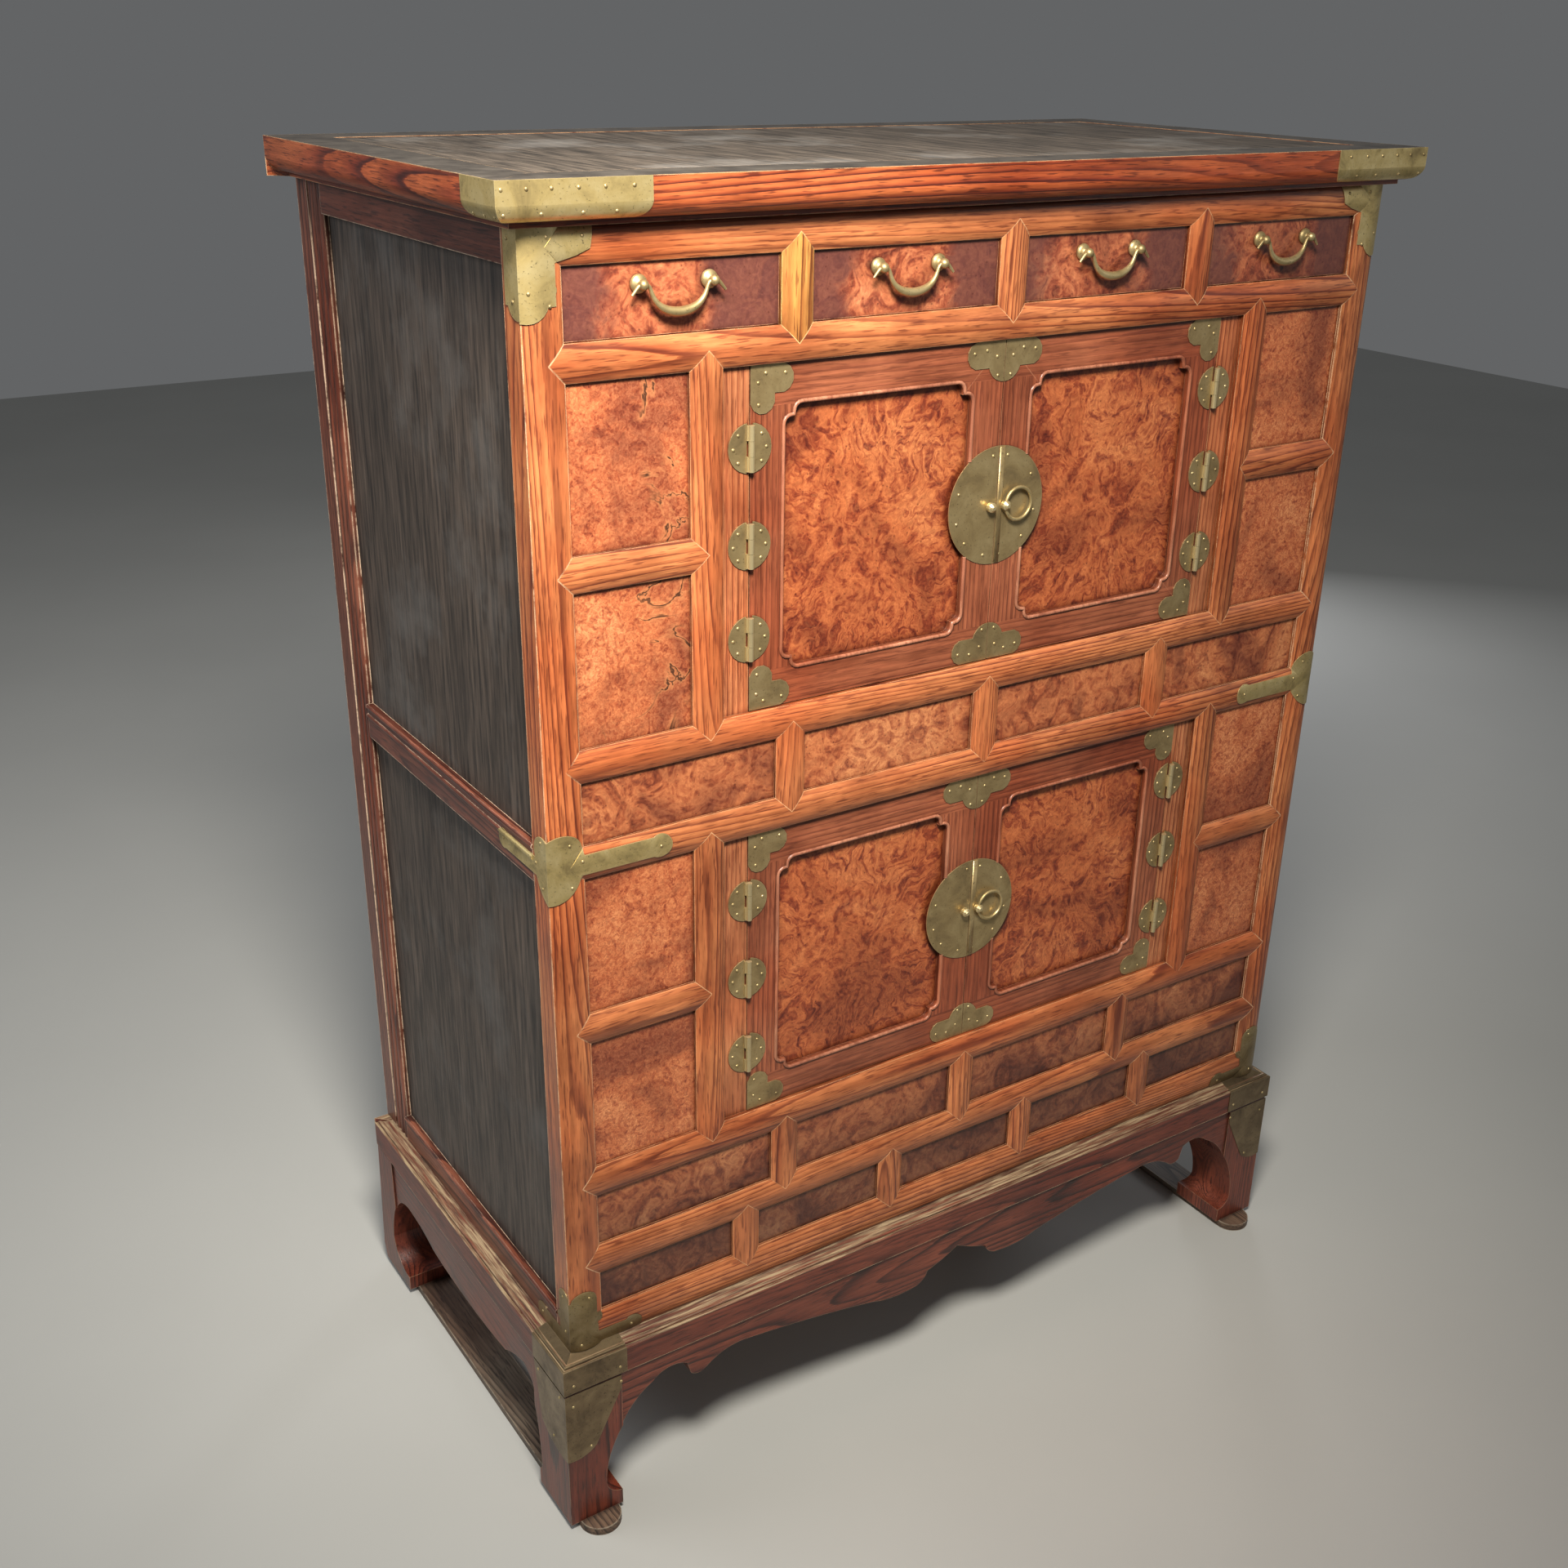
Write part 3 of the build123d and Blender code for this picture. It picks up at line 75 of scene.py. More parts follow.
def lamp(name, place, target, size, power, colour, spread=180):
    data = bpy.data.lights.new(name, "AREA")
    data.shape = "DISK"
    data.size = size
    data.energy = power
    data.spread = radians(spread)
    data.color = colour
    light = bpy.data.objects.new(name, data)
    light.location = place
    light.rotation_euler = (Vector(target) - Vector(place)).to_track_quat("-Z", "Y").to_euler()
    bpy.context.collection.objects.link(light)


lamp("key_lamp", (-0.75, -1.08, 2.12), (-0.30, -0.2, 1.02), 0.45, 15, (1.0, 0.95, 0.86), 82)
lamp("side_lamp", (2.4, -2.2, 1.8), (0, 0, 0.6), 1.6, 3.5, (0.95, 0.97, 1.0))
lamp("rear_lamp", (-2.6, 1.2, 2.4), (0, 0, 0.7), 1.8, 30, (0.95, 0.97, 1.0))
lamp("back_lamp", (2.4, 2.2, 0.9), (0, 0, 0.7), 0.7, 18, (0.96, 0.97, 1.0))

world = bpy.data.worlds.new("world")
world.use_nodes = True
world.node_tree.nodes["Background"].inputs["Color"].default_value = (0.86, 0.88, 0.90, 1)
world.node_tree.nodes["Background"].inputs["Strength"].default_value = 0.145
bpy.context.scene.world = world


def new_finish(name):
    """An empty material, with its node tree and its shader."""
    material = bpy.data.materials.new(name)
    material.use_nodes = True
    return material, material.node_tree, material.node_tree.nodes["Principled BSDF"]


def feed(tree, socket, given):
    """Link a socket to this one, or set it to a plain number, direction or colour."""
    if isinstance(given, bpy.types.NodeSocket):
        tree.links.new(given, socket)
    elif socket.type == "RGBA":
        socket.default_value = (*given, 1)
    else:
        socket.default_value = given


def add_node(tree, kind, **settings):
    """A node with its properties and its input sockets set by name."""
    node = tree.nodes.new(kind)
    for name, given in settings.items():
        if hasattr(node, name):
            setattr(node, name, given)
        else:
            feed(tree, node.inputs[name.replace("_", " ")], given)
    return node


def object_place(tree):
    return tree.nodes.new("ShaderNodeTexCoord").outputs["Object"]


def stretched(tree, scale, shift=(0, 0, 0)):
    """Object coordinates, scaled differently along each axis."""
    node = add_node(
        tree, "ShaderNodeMapping", Vector=object_place(tree), Scale=scale, Location=shift
    )
    return node.outputs["Vector"]


def noise(tree, vector, scale, detail=4.0, rough=0.55, bent=0.0):
    node = add_node(
        tree, "ShaderNodeTexNoise", Vector=vector, Scale=scale, Detail=detail, Roughness=rough,
        Distortion=bent,
    )
    return node.outputs["Fac"]


def ramp(tree, source, *stops):
    """A colour ramp over (place, colour) stops."""
    node = add_node(tree, "ShaderNodeValToRGB", Fac=source)
    points = node.color_ramp.elements
    points[0].position, points[0].color = stops[0][0], (*stops[0][1], 1)
    points[1].position, points[1].color = stops[-1][0], (*stops[-1][1], 1)
    for place, colour in stops[1:-1]:
        points.new(place).color = (*colour, 1)
    return node.outputs["Color"]


def piece_from(form, name, material):
    """An object made of a finished form, which is used up."""
    data = bpy.data.meshes.new(name)
    form.to_mesh(data)
    form.free()
    data.materials.append(material)
    piece = bpy.data.objects.new(name, data)
    bpy.context.collection.objects.link(piece)
    return piece


floor_reach = 6.0
floor_tones = ((0.44, 0.44, 0.42), (0.51, 0.51, 0.485))


def plain_floor():
    material, tree, shader = new_finish("pale_floor")
    clouds = noise(tree, stretched(tree, (1, 1, 1)), 1.6, 6.0, 0.5)
    tone = ramp(tree, clouds, (0.0, floor_tones[0]), (1.0, floor_tones[1]))
    feed(tree, shader.inputs["Base Color"], tone)
    shader.inputs["Roughness"].default_value = 0.85
    form = bmesh.new()
    bmesh.ops.create_grid(form, x_segments=8, y_segments=8, size=floor_reach)
    piece_from(form, "floor", material)


plain_floor()


# ---------------------------------------------------------------- stand
# The footed stand is elm stained a dark red-brown. Its runners are bare and worn
# grey, and the reeds of its moulded frame are rubbed pale where they stand proud.
def mask(tree, source, low, high):
    """A grey scale that climbs from 0 to 1 between two values of its source."""
    node = add_node(tree, "ShaderNodeMapRange", Value=source, From_Min=low, From_Max=high)
    return node.outputs["Result"]


def mix(tree, factor, first, second, kind="MIX"):
    """Two colours mixed; each may be a socket or a plain colour."""
    node = add_node(tree, "ShaderNodeMix", data_type="RGBA", blend_type=kind)
    feed(tree, node.inputs[0], factor)
    feed(tree, node.inputs[6], first)
    feed(tree, node.inputs[7], second)
    return node.outputs[2]


def tinted(tree, colour, tint):
    """A colour multiplied by another."""
    return mix(tree, 1.0, colour, tint, "MULTIPLY")


def value(tree, kind, first, second=0.0):
    """One arithmetic step on plain values or sockets."""
    node = add_node(tree, "ShaderNodeMath", operation=kind)
    feed(tree, node.inputs[0], first)
    feed(tree, node.inputs[1], second)
    return node.outputs["Value"]


def times(tree, first, second):
    return value(tree, "MULTIPLY", first, second)


def dot(tree, first, second):
    """How far one vector lies along another."""
    node = add_node(tree, "ShaderNodeVectorMath", operation="DOT_PRODUCT")
    feed(tree, node.inputs[0], first)
    feed(tree, node.inputs[1], second)
    return node.outputs["Value"]


def part_of(tree, vector, axis):
    return add_node(tree, "ShaderNodeSeparateXYZ", Vector=vector).outputs[axis]


def part_of_place(tree, axis):
    """One of the object coordinates, in metres."""
    return part_of(tree, object_place(tree), axis)


def face_normal(tree):
    return tree.nodes.new("ShaderNodeNewGeometry").outputs["Normal"]


def facing_up(tree, low, high):
    """1 where a face looks upward and 0 where it stands upright."""
    return mask(tree, part_of(tree, face_normal(tree), "Z"), low, high)


def bumped(tree, shader, height, strength, distance):
    node = add_node(
        tree, "ShaderNodeBump", Height=height, Strength=strength, Distance=distance
    )
    feed(tree, shader.inputs["Normal"], node.outputs["Normal"])


def uneven_gloss(tree, source, first, last):
    """A roughness that drifts between two values with a noise."""
    return ramp(tree, source, (0.2, (first,) * 3), (0.8, (last,) * 3))


def worn_edges(tree, radius):
    """1 on the arrises of a piece and 0 on its faces, broken up by a fine noise."""
    rounded = add_node(tree, "ShaderNodeBevel", samples=6, Radius=radius)
    edge = mask(tree, dot(tree, rounded.outputs["Normal"], face_normal(tree)), 0.985, 0.86)
    broken = noise(tree, stretched(tree, (1, 1, 1)), 60, 5, 0.7)
    return tinted(tree, edge, ramp(tree, broken, (0.34, (0, 0, 0)), (0.52, (1, 1, 1))))


def with_grime_and_painted_shade(tree, colour, reach, strength):
    """A finish darkened in corners and between parts by ambient occlusion: painted shade, and grime
    where oil and dust have gathered.
    """
    corners = add_node(tree, "ShaderNodeAmbientOcclusion", samples=8, Distance=reach)
    corner_shade = times(tree, mask(tree, corners.outputs["AO"], 0.94, 0.52), strength)
    # painted shade and grime: the colour darkened where nearby parts close it in
    return mix(tree, corner_shade, colour, tinted(tree, colour, (0.26, 0.18, 0.15)))


# how the grain is drawn out along each axis, and the slant at which rings cross it
along = {"x": (0.07, 1, 1), "y": (1, 0.07, 1), "z": (1, 1, 0.07)}
slant = {"x": (0.0, 0.55, 0.84), "y": (0.84, 0.0, 0.55), "z": (0.84, 0.55, 0.0)}


def growth_rings(tree, grain, way, pitch, waver):
    """Even bands across the grain, pushed about by a long noise and a short one."""
    even = value(tree, "DIVIDE", dot(tree, object_place(tree), slant[way]), pitch)
    swell = times(tree, noise(tree, grain, 11, 1.0, 0.5, 0.3), waver)
    shiver = times(tree, noise(tree, grain, 170, 3, 0.6), 0.28)
    return value(tree, "FRACT", value(tree, "ADD", value(tree, "ADD", even, swell), shiver))


def ring_colours(tree, rings, grain, tones):
    """Dark and light wood over the rings, faded in broad areas."""
    dark, middle, light = tones
    grown = ramp(
        tree, rings, (0.0, middle), (0.04, dark), (0.11, dark), (0.25, middle), (0.62, light),
        (1.0, light),
    )
    fading = mask(tree, noise(tree, grain, 30, 3, 0.5), 0.42, 0.66)
    return mix(tree, fading, grown, mix(tree, 0.45, middle, light))


def weathered(tree, colour, streaks, blotch):
    """A colour drawn out in fine streaks, shaded in blotches and ruddier in some areas."""
    streaked = tinted(
        tree, colour,
        ramp(tree, streaks, (0.34, (0.70, 0.66, 0.62)), (0.64, (1.16, 1.14, 1.12))),
    )
    shaded = tinted(
        tree, streaked,
        ramp(tree, blotch, (0.34, (0.64, 0.54, 0.52)), (0.60, (1.12, 1.1, 1.06))),
    )
    areas = noise(tree, stretched(tree, (1, 1, 1), (7, 3, 1)), 4.6, 3, 0.5)
    ruddy = times(tree, mask(tree, areas, 0.47, 0.60), 0.75)
    return mix(tree, ruddy, shaded, tinted(tree, shaded, (0.84, 0.60, 0.50)))


def figured_wood(
    name, way, tones, pale, shine=0.36, pitch=0.0074, waver=25, wear=0.75, turned=None,
    rubbed=0.0013,
):
    """Ring porous wood with its grain one way, oiled, and pale on its rubbed arrises.

    turned gives another way for part of a node, with the mask of that part."""
    material, tree, shader = new_finish(name)
    grain = stretched(tree, along[way])
    rings = growth_rings(tree, grain, way, pitch, waver)
    if turned:
        other, where, *places = turned
        there = where(tree, *places)
        other_grain = stretched(tree, along[other])
        rings = mix(tree, there, rings, growth_rings(tree, other_grain, other, pitch, waver))
        grain = mix(tree, there, grain, other_grain)
    pores = noise(tree, grain, 620, 2, 0.5)
    pored = mix(
        tree, times(tree, mask(tree, pores, 0.56, 0.66), 0.75),
        ring_colours(tree, rings, grain, tones), tones[0],
    )
    streaks = noise(tree, grain, 210, 4, 0.65)
    blotch = noise(tree, stretched(tree, (1, 1, 1), (3, 1, 2)), 6.5, 5, 0.6)
    # painted shade in corners and between parts, with grime, over the weathered colour
    aged_and_shaded = with_grime_and_painted_shade(tree, weathered(tree, pored, streaks, blotch), 0.008, 0.85)
    worn = times(tree, worn_edges(tree, rubbed), wear)
    feed(tree, shader.inputs["Base Color"], mix(tree, worn, aged_and_shaded, pale))
    gloss = uneven_gloss(tree, blotch, shine - 0.06, shine + 0.16)
    feed(tree, shader.inputs["Roughness"], gloss)
    shader.inputs["Coat Weight"].default_value = 0.12
    shader.inputs["Coat Roughness"].default_value = 0.30
    bumped(tree, shader, value(tree, "ADD", streaks, pores), 0.4, 0.0006)
    return material


def colour_of(material):
    """The node tree of a finish, its colour, and the socket which that colour goes to."""
    tree = material.node_tree
    socket = tree.nodes["Principled BSDF"].inputs["Base Color"]
    return tree, socket.links[0].from_socket, socket


def side_members(tree, half, front, rear):
    """1 on the side members of a mitred frame, parted from the others at its mitres."""
    place = part_of_place(tree, "Y")
    inward = value(tree, "SUBTRACT", half, value(tree, "ABSOLUTE", part_of_place(tree, "X")))
    from_front = value(tree, "SUBTRACT", place, front)
    from_rear = value(tree, "SUBTRACT", rear, place)
    return value(tree, "LESS_THAN", inward, value(tree, "MINIMUM", from_front, from_rear))


def paint(material, *names):
    """The finish of carried-over CAD pieces."""
    for name in names:
        data = nodes[name].data
        data.materials.clear()
        data.materials.append(material)


stand_tones = ((0.040, 0.011, 0.008), (0.125, 0.030, 0.018), (0.21, 0.055, 0.030))
stand_pale = (0.40, 0.25, 0.15)
(_, stand_front, _), (stand_half, stand_rear, _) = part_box("stand_frame")
at_stand_sides = ("y", side_members, stand_half, stand_front, stand_rear)
stand_level = figured_wood(
    "stand_wood_level", "x", stand_tones, stand_pale, 0.38, turned=at_stand_sides
)
stand_upright = figured_wood("stand_wood_upright", "z", stand_tones, stand_pale, 0.38)
runner_wood = figured_wood(
    "runner_wood", "y", ((0.035, 0.028, 0.023), (0.10, 0.078, 0.060), (0.21, 0.17, 0.13)),
    (0.42, 0.35, 0.26), 0.6, wear=0.85, rubbed=0.003,
)


def rubbed_moulding():
    """The stand frame: its slope and beads have lost much of their stain, in long streaks."""
    material = figured_wood(
        "moulding_wood", "x", stand_tones, (0.56, 0.42, 0.26), 0.44, wear=1.0,
        turned=at_stand_sides, rubbed=0.0016,
    )
    tree, stained, socket = colour_of(material)
    lengthways = mix(
        tree, side_members(tree, stand_half, stand_front, stand_rear),
        stretched(tree, (0.05, 1, 1)), stretched(tree, (1, 0.05, 1)),
    )
    patches = noise(tree, lengthways, 330, 4, 0.65)
    bare = times(tree, facing_up(tree, 0.30, 0.60), mask(tree, patches, 0.34, 0.62))
    olive = ramp(tree, patches, (0.38, (0.10, 0.060, 0.035)), (0.62, (0.40, 0.29, 0.17)))
    feed(tree, socket, mix(tree, bare, stained, olive))
    return material


paint(rubbed_moulding(), "stand_frame")
paint(stand_level, "stand_aprons")
paint(stand_upright, "stand_legs")
paint(runner_wood, "stand_runners")

# ---------------------------------------------------------------- front framing
# The posts, rails and muntins are oiled zelkova, orange with dark growth bands and
# open pores, joined at pointed ends that lie in notches. Handling has rubbed their
# arrises pale.
frame_tones = ((0.17, 0.040, 0.018), (0.42, 0.130, 0.048), (0.60, 0.225, 0.086))
frame_pale = (0.86, 0.54, 0.29)
yellow_before = -0.15


def drawer_muntin_wood():
    """The muntin by the first drawer was cut from yellower wood than the others."""
    material = figured_wood("drawer_muntin_wood", "z", frame_tones, frame_pale)
    tree, brown, socket = colour_of(material)
    first = value(tree, "LESS_THAN", part_of_place(tree, "X"), yellow_before)
    feed(tree, socket, mix(tree, first, brown, tinted(tree, brown, (1.05, 1.38, 1.0))))
    return material


paint(
    figured_wood("zelkova_level", "x", frame_tones, frame_pale),
    "top_rail", "drawer_rail", "tier_rail", "bottom_rail", "sill_rails", "wing_muntins",
)
paint(
    figured_wood("zelkova_upright", "z", frame_tones, frame_pale), "door_stiles", "band_muntins"
)
paint(
    figured_wood("post_wood", "z", frame_tones, (0.90, 0.60, 0.36), wear=0.95, rubbed=0.0024),
    "front_posts",
)
paint(drawer_muntin_wood(), "drawer_muntins")

# ---------------------------------------------------------------- side and inner framing
# The side rails and the reeded rear posts are the same wood, stained much darker.
# Flat jambs beside the doors carry their hinges. The floors, guides and back rails
# are plain pine.
side_tones = ((0.045, 0.014, 0.010), (0.13, 0.040, 0.025), (0.23, 0.080, 0.048))
side_pale = (0.84, 0.62, 0.44)
paint(
    figured_wood("side_rail_wood", "y", side_tones, side_pale, wear=0.95, rubbed=0.0016),
    "side_rails",
)
paint(
    figured_wood("rear_post_wood", "z", side_tones, side_pale, wear=1.0, rubbed=0.003),
    "rear_posts",
)
jamb_wood = figured_wood(
    "jamb_wood", "z", ((0.24, 0.075, 0.036), (0.46, 0.165, 0.072), (0.58, 0.25, 0.115)),
    (0.6, 0.30, 0.15), pitch=0.005, waver=5,
)
paint(jamb_wood, "door_jambs")
pine = figured_wood(
    "pine", "x", ((0.20, 0.11, 0.05), (0.36, 0.22, 0.11), (0.46, 0.30, 0.16)),
    (0.5, 0.36, 0.22), 0.6, wear=0.2,
)
paint(pine, "inner_floors", "back_rails", "drawer_guides")


# ---------------------------------------------------------------- burl panels
# Thin boards of zelkova burl: curls and eyes of orange and dark red, with fine
# speckle and a few dark shakes. They sit in grooves of the framing.
def fan(tree, centre):
    """Coordinates that run out from a place on a panel, so that a noise on them fans out."""
    vector = stretched(tree, (1, 1, 1))
    offsets = []
    for axis, start, scale in (("X", centre[0], 16), ("Z", centre[1], 21)):
        push = times(tree, value(tree, "SUBTRACT", noise(tree, vector, scale, 3), 0.5), 0.09)
        away = value(tree, "SUBTRACT", part_of_place(tree, axis), start)
        offsets.append(value(tree, "ADD", away, push))
    x, z = offsets
    reach = value(tree, "SQRT", value(tree, "ADD", times(tree, x, x), times(tree, z, z)))
    joined = add_node(
        tree, "ShaderNodeCombineXYZ", X=times(tree, value(tree, "ARCTAN2", z, x), 0.085),
        Z=times(tree, reach, 0.42),
    )
    return joined.outputs["Vector"], reach


def with_clouds(tree, colour, broad, strength):
    """Wide areas of a panel darker, and others lighter and yellower."""
    dull = times(tree, mask(tree, broad, 0.48, 0.62), strength)
    colour = mix(tree, dull, colour, tinted(tree, colour, (0.40, 0.34, 0.44)))
    clear = times(tree, mask(tree, broad, 0.46, 0.34), 0.55)
    return mix(tree, clear, colour, tinted(tree, colour, (1.35, 1.75, 1.9)))


def with_dark_ends(tree, colour, middle, reach, curls, broad, flecks):
    """A lighter middle with ragged edges, and nearly black wood past it on both sides."""
    away = value(tree, "ABSOLUTE", value(tree, "SUBTRACT", part_of_place(tree, "X"), middle))
    ragged = value(tree, "ADD", away, times(tree, curls, 0.05))
    ragged = value(tree, "ADD", ragged, times(tree, broad, 0.10))
    ends = times(tree, mask(tree, ragged, reach + 0.062, reach + 0.084), 0.85)
    return mix(tree, ends, colour, mix(tree, flecks, (0.055, 0.018, 0.018), (0.16, 0.055, 0.042)))


def with_eyes(tree, colour, vector, scale, dark):
    """Small round eyes, as pin knots leave them."""
    cells = add_node(tree, "ShaderNodeTexVoronoi", Vector=vector, Scale=scale)
    spots = times(tree, mask(tree, cells.outputs["Distance"], 0.17, 0.06), 0.7)
    return mix(tree, spots, colour, tuple(0.7 * part for part in dark))


def with_shakes(tree, colour, vector, above):
    """Thin wandering cracks with rubbed lips, on the left panels above a height."""
    line = value(tree, "SUBTRACT", noise(tree, vector, 12, 5, 0.55, 1.0), 0.5)
    near = value(tree, "ABSOLUTE", line)
    left = value(tree, "LESS_THAN", part_of_place(tree, "X"), 0)
    upper = value(tree, "GREATER_THAN", part_of_place(tree, "Z"), above)
    here = mask(tree, noise(tree, vector, 10, 2), 0.52, 0.57)
    here = times(tree, here, times(tree, left, upper))
    lips = times(tree, mask(tree, near, 0.040, 0.010), here)
    colour = mix(tree, times(tree, lips, 0.5), colour, (0.62, 0.25, 0.10))
    split = times(tree, mask(tree, near, 0.0125, 0.004), here)
    return mix(tree, split, colour, (0.075, 0.028, 0.014))


burl_shine = 0.34


def burl(
    name, tones, swirl, speckle, shift=(0, 0, 0), clouds=0.6, centre=None, dark_ends=None,
    painted_shade_below=None, shakes_above=None,
):
    """Curled burl: bent noise for the curls, finer noise for flecks, spots for the eyes."""
    material, tree, shader = new_finish(name)
    dark, middle, light = tones
    vector = stretched(tree, (1, 1, 1), shift)
    curls = noise(tree, vector, swirl, 5, 0.60, 1.9)
    if centre:
        spread, reach = fan(tree, centre)
        flames = noise(tree, spread, swirl * 2.9, 4, 0.62, 0.9)
        curls = mix(tree, mask(tree, reach, 0.030, 0.085), curls, flames)
    figure = ramp(
        tree, curls, (0.35, dark), (0.45, middle), (0.55, light), (0.66, middle), (0.76, dark)
    )
    flecks = noise(tree, vector, swirl * 4.2, 5, 0.65, 1.3)
    fine_figure = ramp(tree, flecks, (0.38, dark), (0.50, middle), (0.62, light))
    broad = noise(tree, vector, 9.5, 4, 0.6, 0.8)
    colour = with_clouds(tree, mix(tree, speckle, figure, fine_figure), broad, clouds)
    if dark_ends:
        colour = with_dark_ends(tree, colour, *dark_ends, curls, broad, flecks)
    if painted_shade_below:
        # painted shade: the panel darker towards the bottom, where the light falls off near the
        # floor
        low = mask(tree, part_of_place(tree, "Z"), painted_shade_below + 0.08, painted_shade_below - 0.02)
        colour = mix(tree, low, colour, tinted(tree, colour, (0.42, 0.46, 0.55)))
    colour = with_eyes(tree, colour, vector, swirl * 3.6, dark)
    if shakes_above:
        colour = with_shakes(tree, colour, vector, shakes_above)
    # painted shade in corners and between parts, with grime
    colour = with_grime_and_painted_shade(tree, colour, 0.012, 0.9)
    worn = times(tree, worn_edges(tree, 0.0012), 0.7)
    feed(tree, shader.inputs["Base Color"], mix(tree, worn, colour, (0.78, 0.40, 0.22)))
    gloss = uneven_gloss(tree, flecks, burl_shine - 0.06, burl_shine + 0.16)
    feed(tree, shader.inputs["Roughness"], gloss)
    shader.inputs["Coat Weight"].default_value = 0.12
    shader.inputs["Coat Roughness"].default_value = 0.28
    bumped(tree, shader, flecks, 0.16, 0.0006)
    return material


wing_tones = ((0.20, 0.040, 0.020), (0.45, 0.112, 0.042), (0.66, 0.235, 0.092))
band_tones = ((0.14, 0.030, 0.016), (0.36, 0.092, 0.036), (0.60, 0.210, 0.080))
paint(burl("fine_burl", wing_tones, 66, 0.55, clouds=0.8, shakes_above=0.75), "wing_panels")
# the band panels carry painted shade below 0.34 m
paint(
    burl("band_burl", band_tones, 38, 0.35, shift=(4, 0, 2), clouds=0.9, painted_shade_below=0.34),
    "band_panels",
)


# ---------------------------------------------------------------- sides, back and top boards
# Wide boards stained nearly black, set behind the posts and the cornice frame.
# They are dry and matt, with pale rubs, scratches and dust along the grain. The top boards are
# paler, with dust and painted sheen where the light grazes them.
def dark_board(name, way, dust_and_sheen, stain):
    material, tree, shader = new_finish(name)
    grain = stretched(tree, along[way])
    broad = noise(tree, grain, 30, 5, 0.6, 0.4)
    base = ramp(
        tree, broad, (0.30, tuple(0.72 * part for part in stain)), (0.52, stain),
        (0.72, tuple(1.35 * part for part in stain)),
    )
    fine = noise(tree, grain, 190, 4, 0.65)
    lines = ramp(tree, fine, (0.36, (0.2, 0.2, 0.2)), (0.66, (2.0, 1.9, 1.8)))
    lined = mix(tree, 0.75, base, lines, "MULTIPLY")
    cloud = noise(tree, stretched(tree, (1, 1, 1), (0, 2, 5)), 6, 6, 0.65)
    # pale patches: dust, and on the top boards also painted sheen
    dust_and_sheen_tone = tuple(dust_and_sheen * part for part in (0.16, 0.15, 0.14))
    dusty_and_sheened = mix(tree, mask(tree, cloud, 0.50, 0.80), lined, dust_and_sheen_tone)
    marks = noise(tree, grain, 90, 7, 0.75, 0.8)
    scratched = mix(tree, mask(tree, marks, 0.70, 0.76), dusty_and_sheened, (0.26, 0.24, 0.22))
    feed(tree, shader.inputs["Base Color"], scratched)
    feed(tree, shader.inputs["Roughness"], uneven_gloss(tree, cloud, 0.42, 0.70))
    bumped(tree, shader, fine, 0.4, 0.0006)
    return material


side_board = dark_board("black_side_board", "z", 0.9, (0.060, 0.046, 0.037))
# the top board's paler stain and stronger pale patches are dust and painted sheen, the grazing light
# on the top
top_board = dark_board("black_top_board", "y", 2.1, (0.105, 0.086, 0.070))
paint(side_board, "side_boards", "back_boards")
paint(top_board, "top_boards")

# ---------------------------------------------------------------- cornice frame
# Four moulded members, mitred at the corners, hold the top boards between them.
# Their edges are figured red-brown, and their top face is black like the boards.
(_, cornice_front, _), (cornice_half, cornice_rear, _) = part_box("top_frame")
cornice_tones = ((0.075, 0.014, 0.009), (0.25, 0.050, 0.020), (0.46, 0.125, 0.042))


def cornice_wood():
    material = figured_wood(
        "cornice_wood", "x", cornice_tones, frame_pale, 0.34,
        turned=("y", side_members, cornice_half, cornice_front, cornice_rear),
    )
    tree, edge, socket = colour_of(material)
    cloud = noise(tree, stretched(tree, (1, 1, 1)), 30, 5, 0.65)
    black = ramp(tree, cloud, (0.3, (0.035, 0.028, 0.023)), (0.7, (0.13, 0.11, 0.09)))
    rubbed = mix(tree, times(tree, worn_edges(tree, 0.002), 0.8), black, frame_pale)
    feed(tree, socket, mix(tree, facing_up(tree, 0.85, 0.95), edge, rubbed))
    return material


paint(cornice_wood(), "top_frame")

# ---------------------------------------------------------------- drawers
# Four fronts of burl, light in the middle and dark at both ends, no two with the
# same figure. The boxes behind them are plain pine, like the floors.
drawer_tones = ((0.095, 0.020, 0.013), (0.28, 0.062, 0.028), (0.56, 0.185, 0.078))
light_shift = -0.010
light_share = 0.55
for number in range(1, 5):
    low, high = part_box(f"drawer_{number}_front")
    middle, half = (low[0] + high[0]) / 2, (high[0] - low[0]) / 2
    front = burl(
        f"drawer_burl_{number}", drawer_tones, 38, 0.35, shift=(number * 3.7, 0, 1),
        dark_ends=(middle + light_shift, half * light_share),
    )
    paint(front, f"drawer_{number}_front")
    paint(pine, f"drawer_{number}_box")

# ---------------------------------------------------------------- doors
# Mitred frames of smooth red-brown wood round a cusped opening, with a panel of
# strong flame burl, a pair to each tier. A half round bead, rubbed pale, runs round
# each opening and stops at the lock plate.
door_member = 0.035
cusp_step = 0.0105
cusp_radius = 0.008
bead_radius = 0.0019
bead_seat = 0.0002
bead_overlap = 0.8
lock_plate_radius = 0.0565
# the flames fan out from a place a little off the middle of a panel
fan_aside = 0.01
fan_drop = 0.015
door_tones = ((0.175, 0.052, 0.028), (0.275, 0.084, 0.042), (0.36, 0.122, 0.060))
flame_tones = ((0.095, 0.015, 0.010), (0.28, 0.054, 0.020), (0.56, 0.165, 0.054))


def past_levels(tree, low, high):
    """1 on the parts of a piece below one level and above another."""
    height = part_of_place(tree, "Z")
    below = value(tree, "LESS_THAN", height, low)
    return value(tree, "ADD", below, value(tree, "GREATER_THAN", height, high))


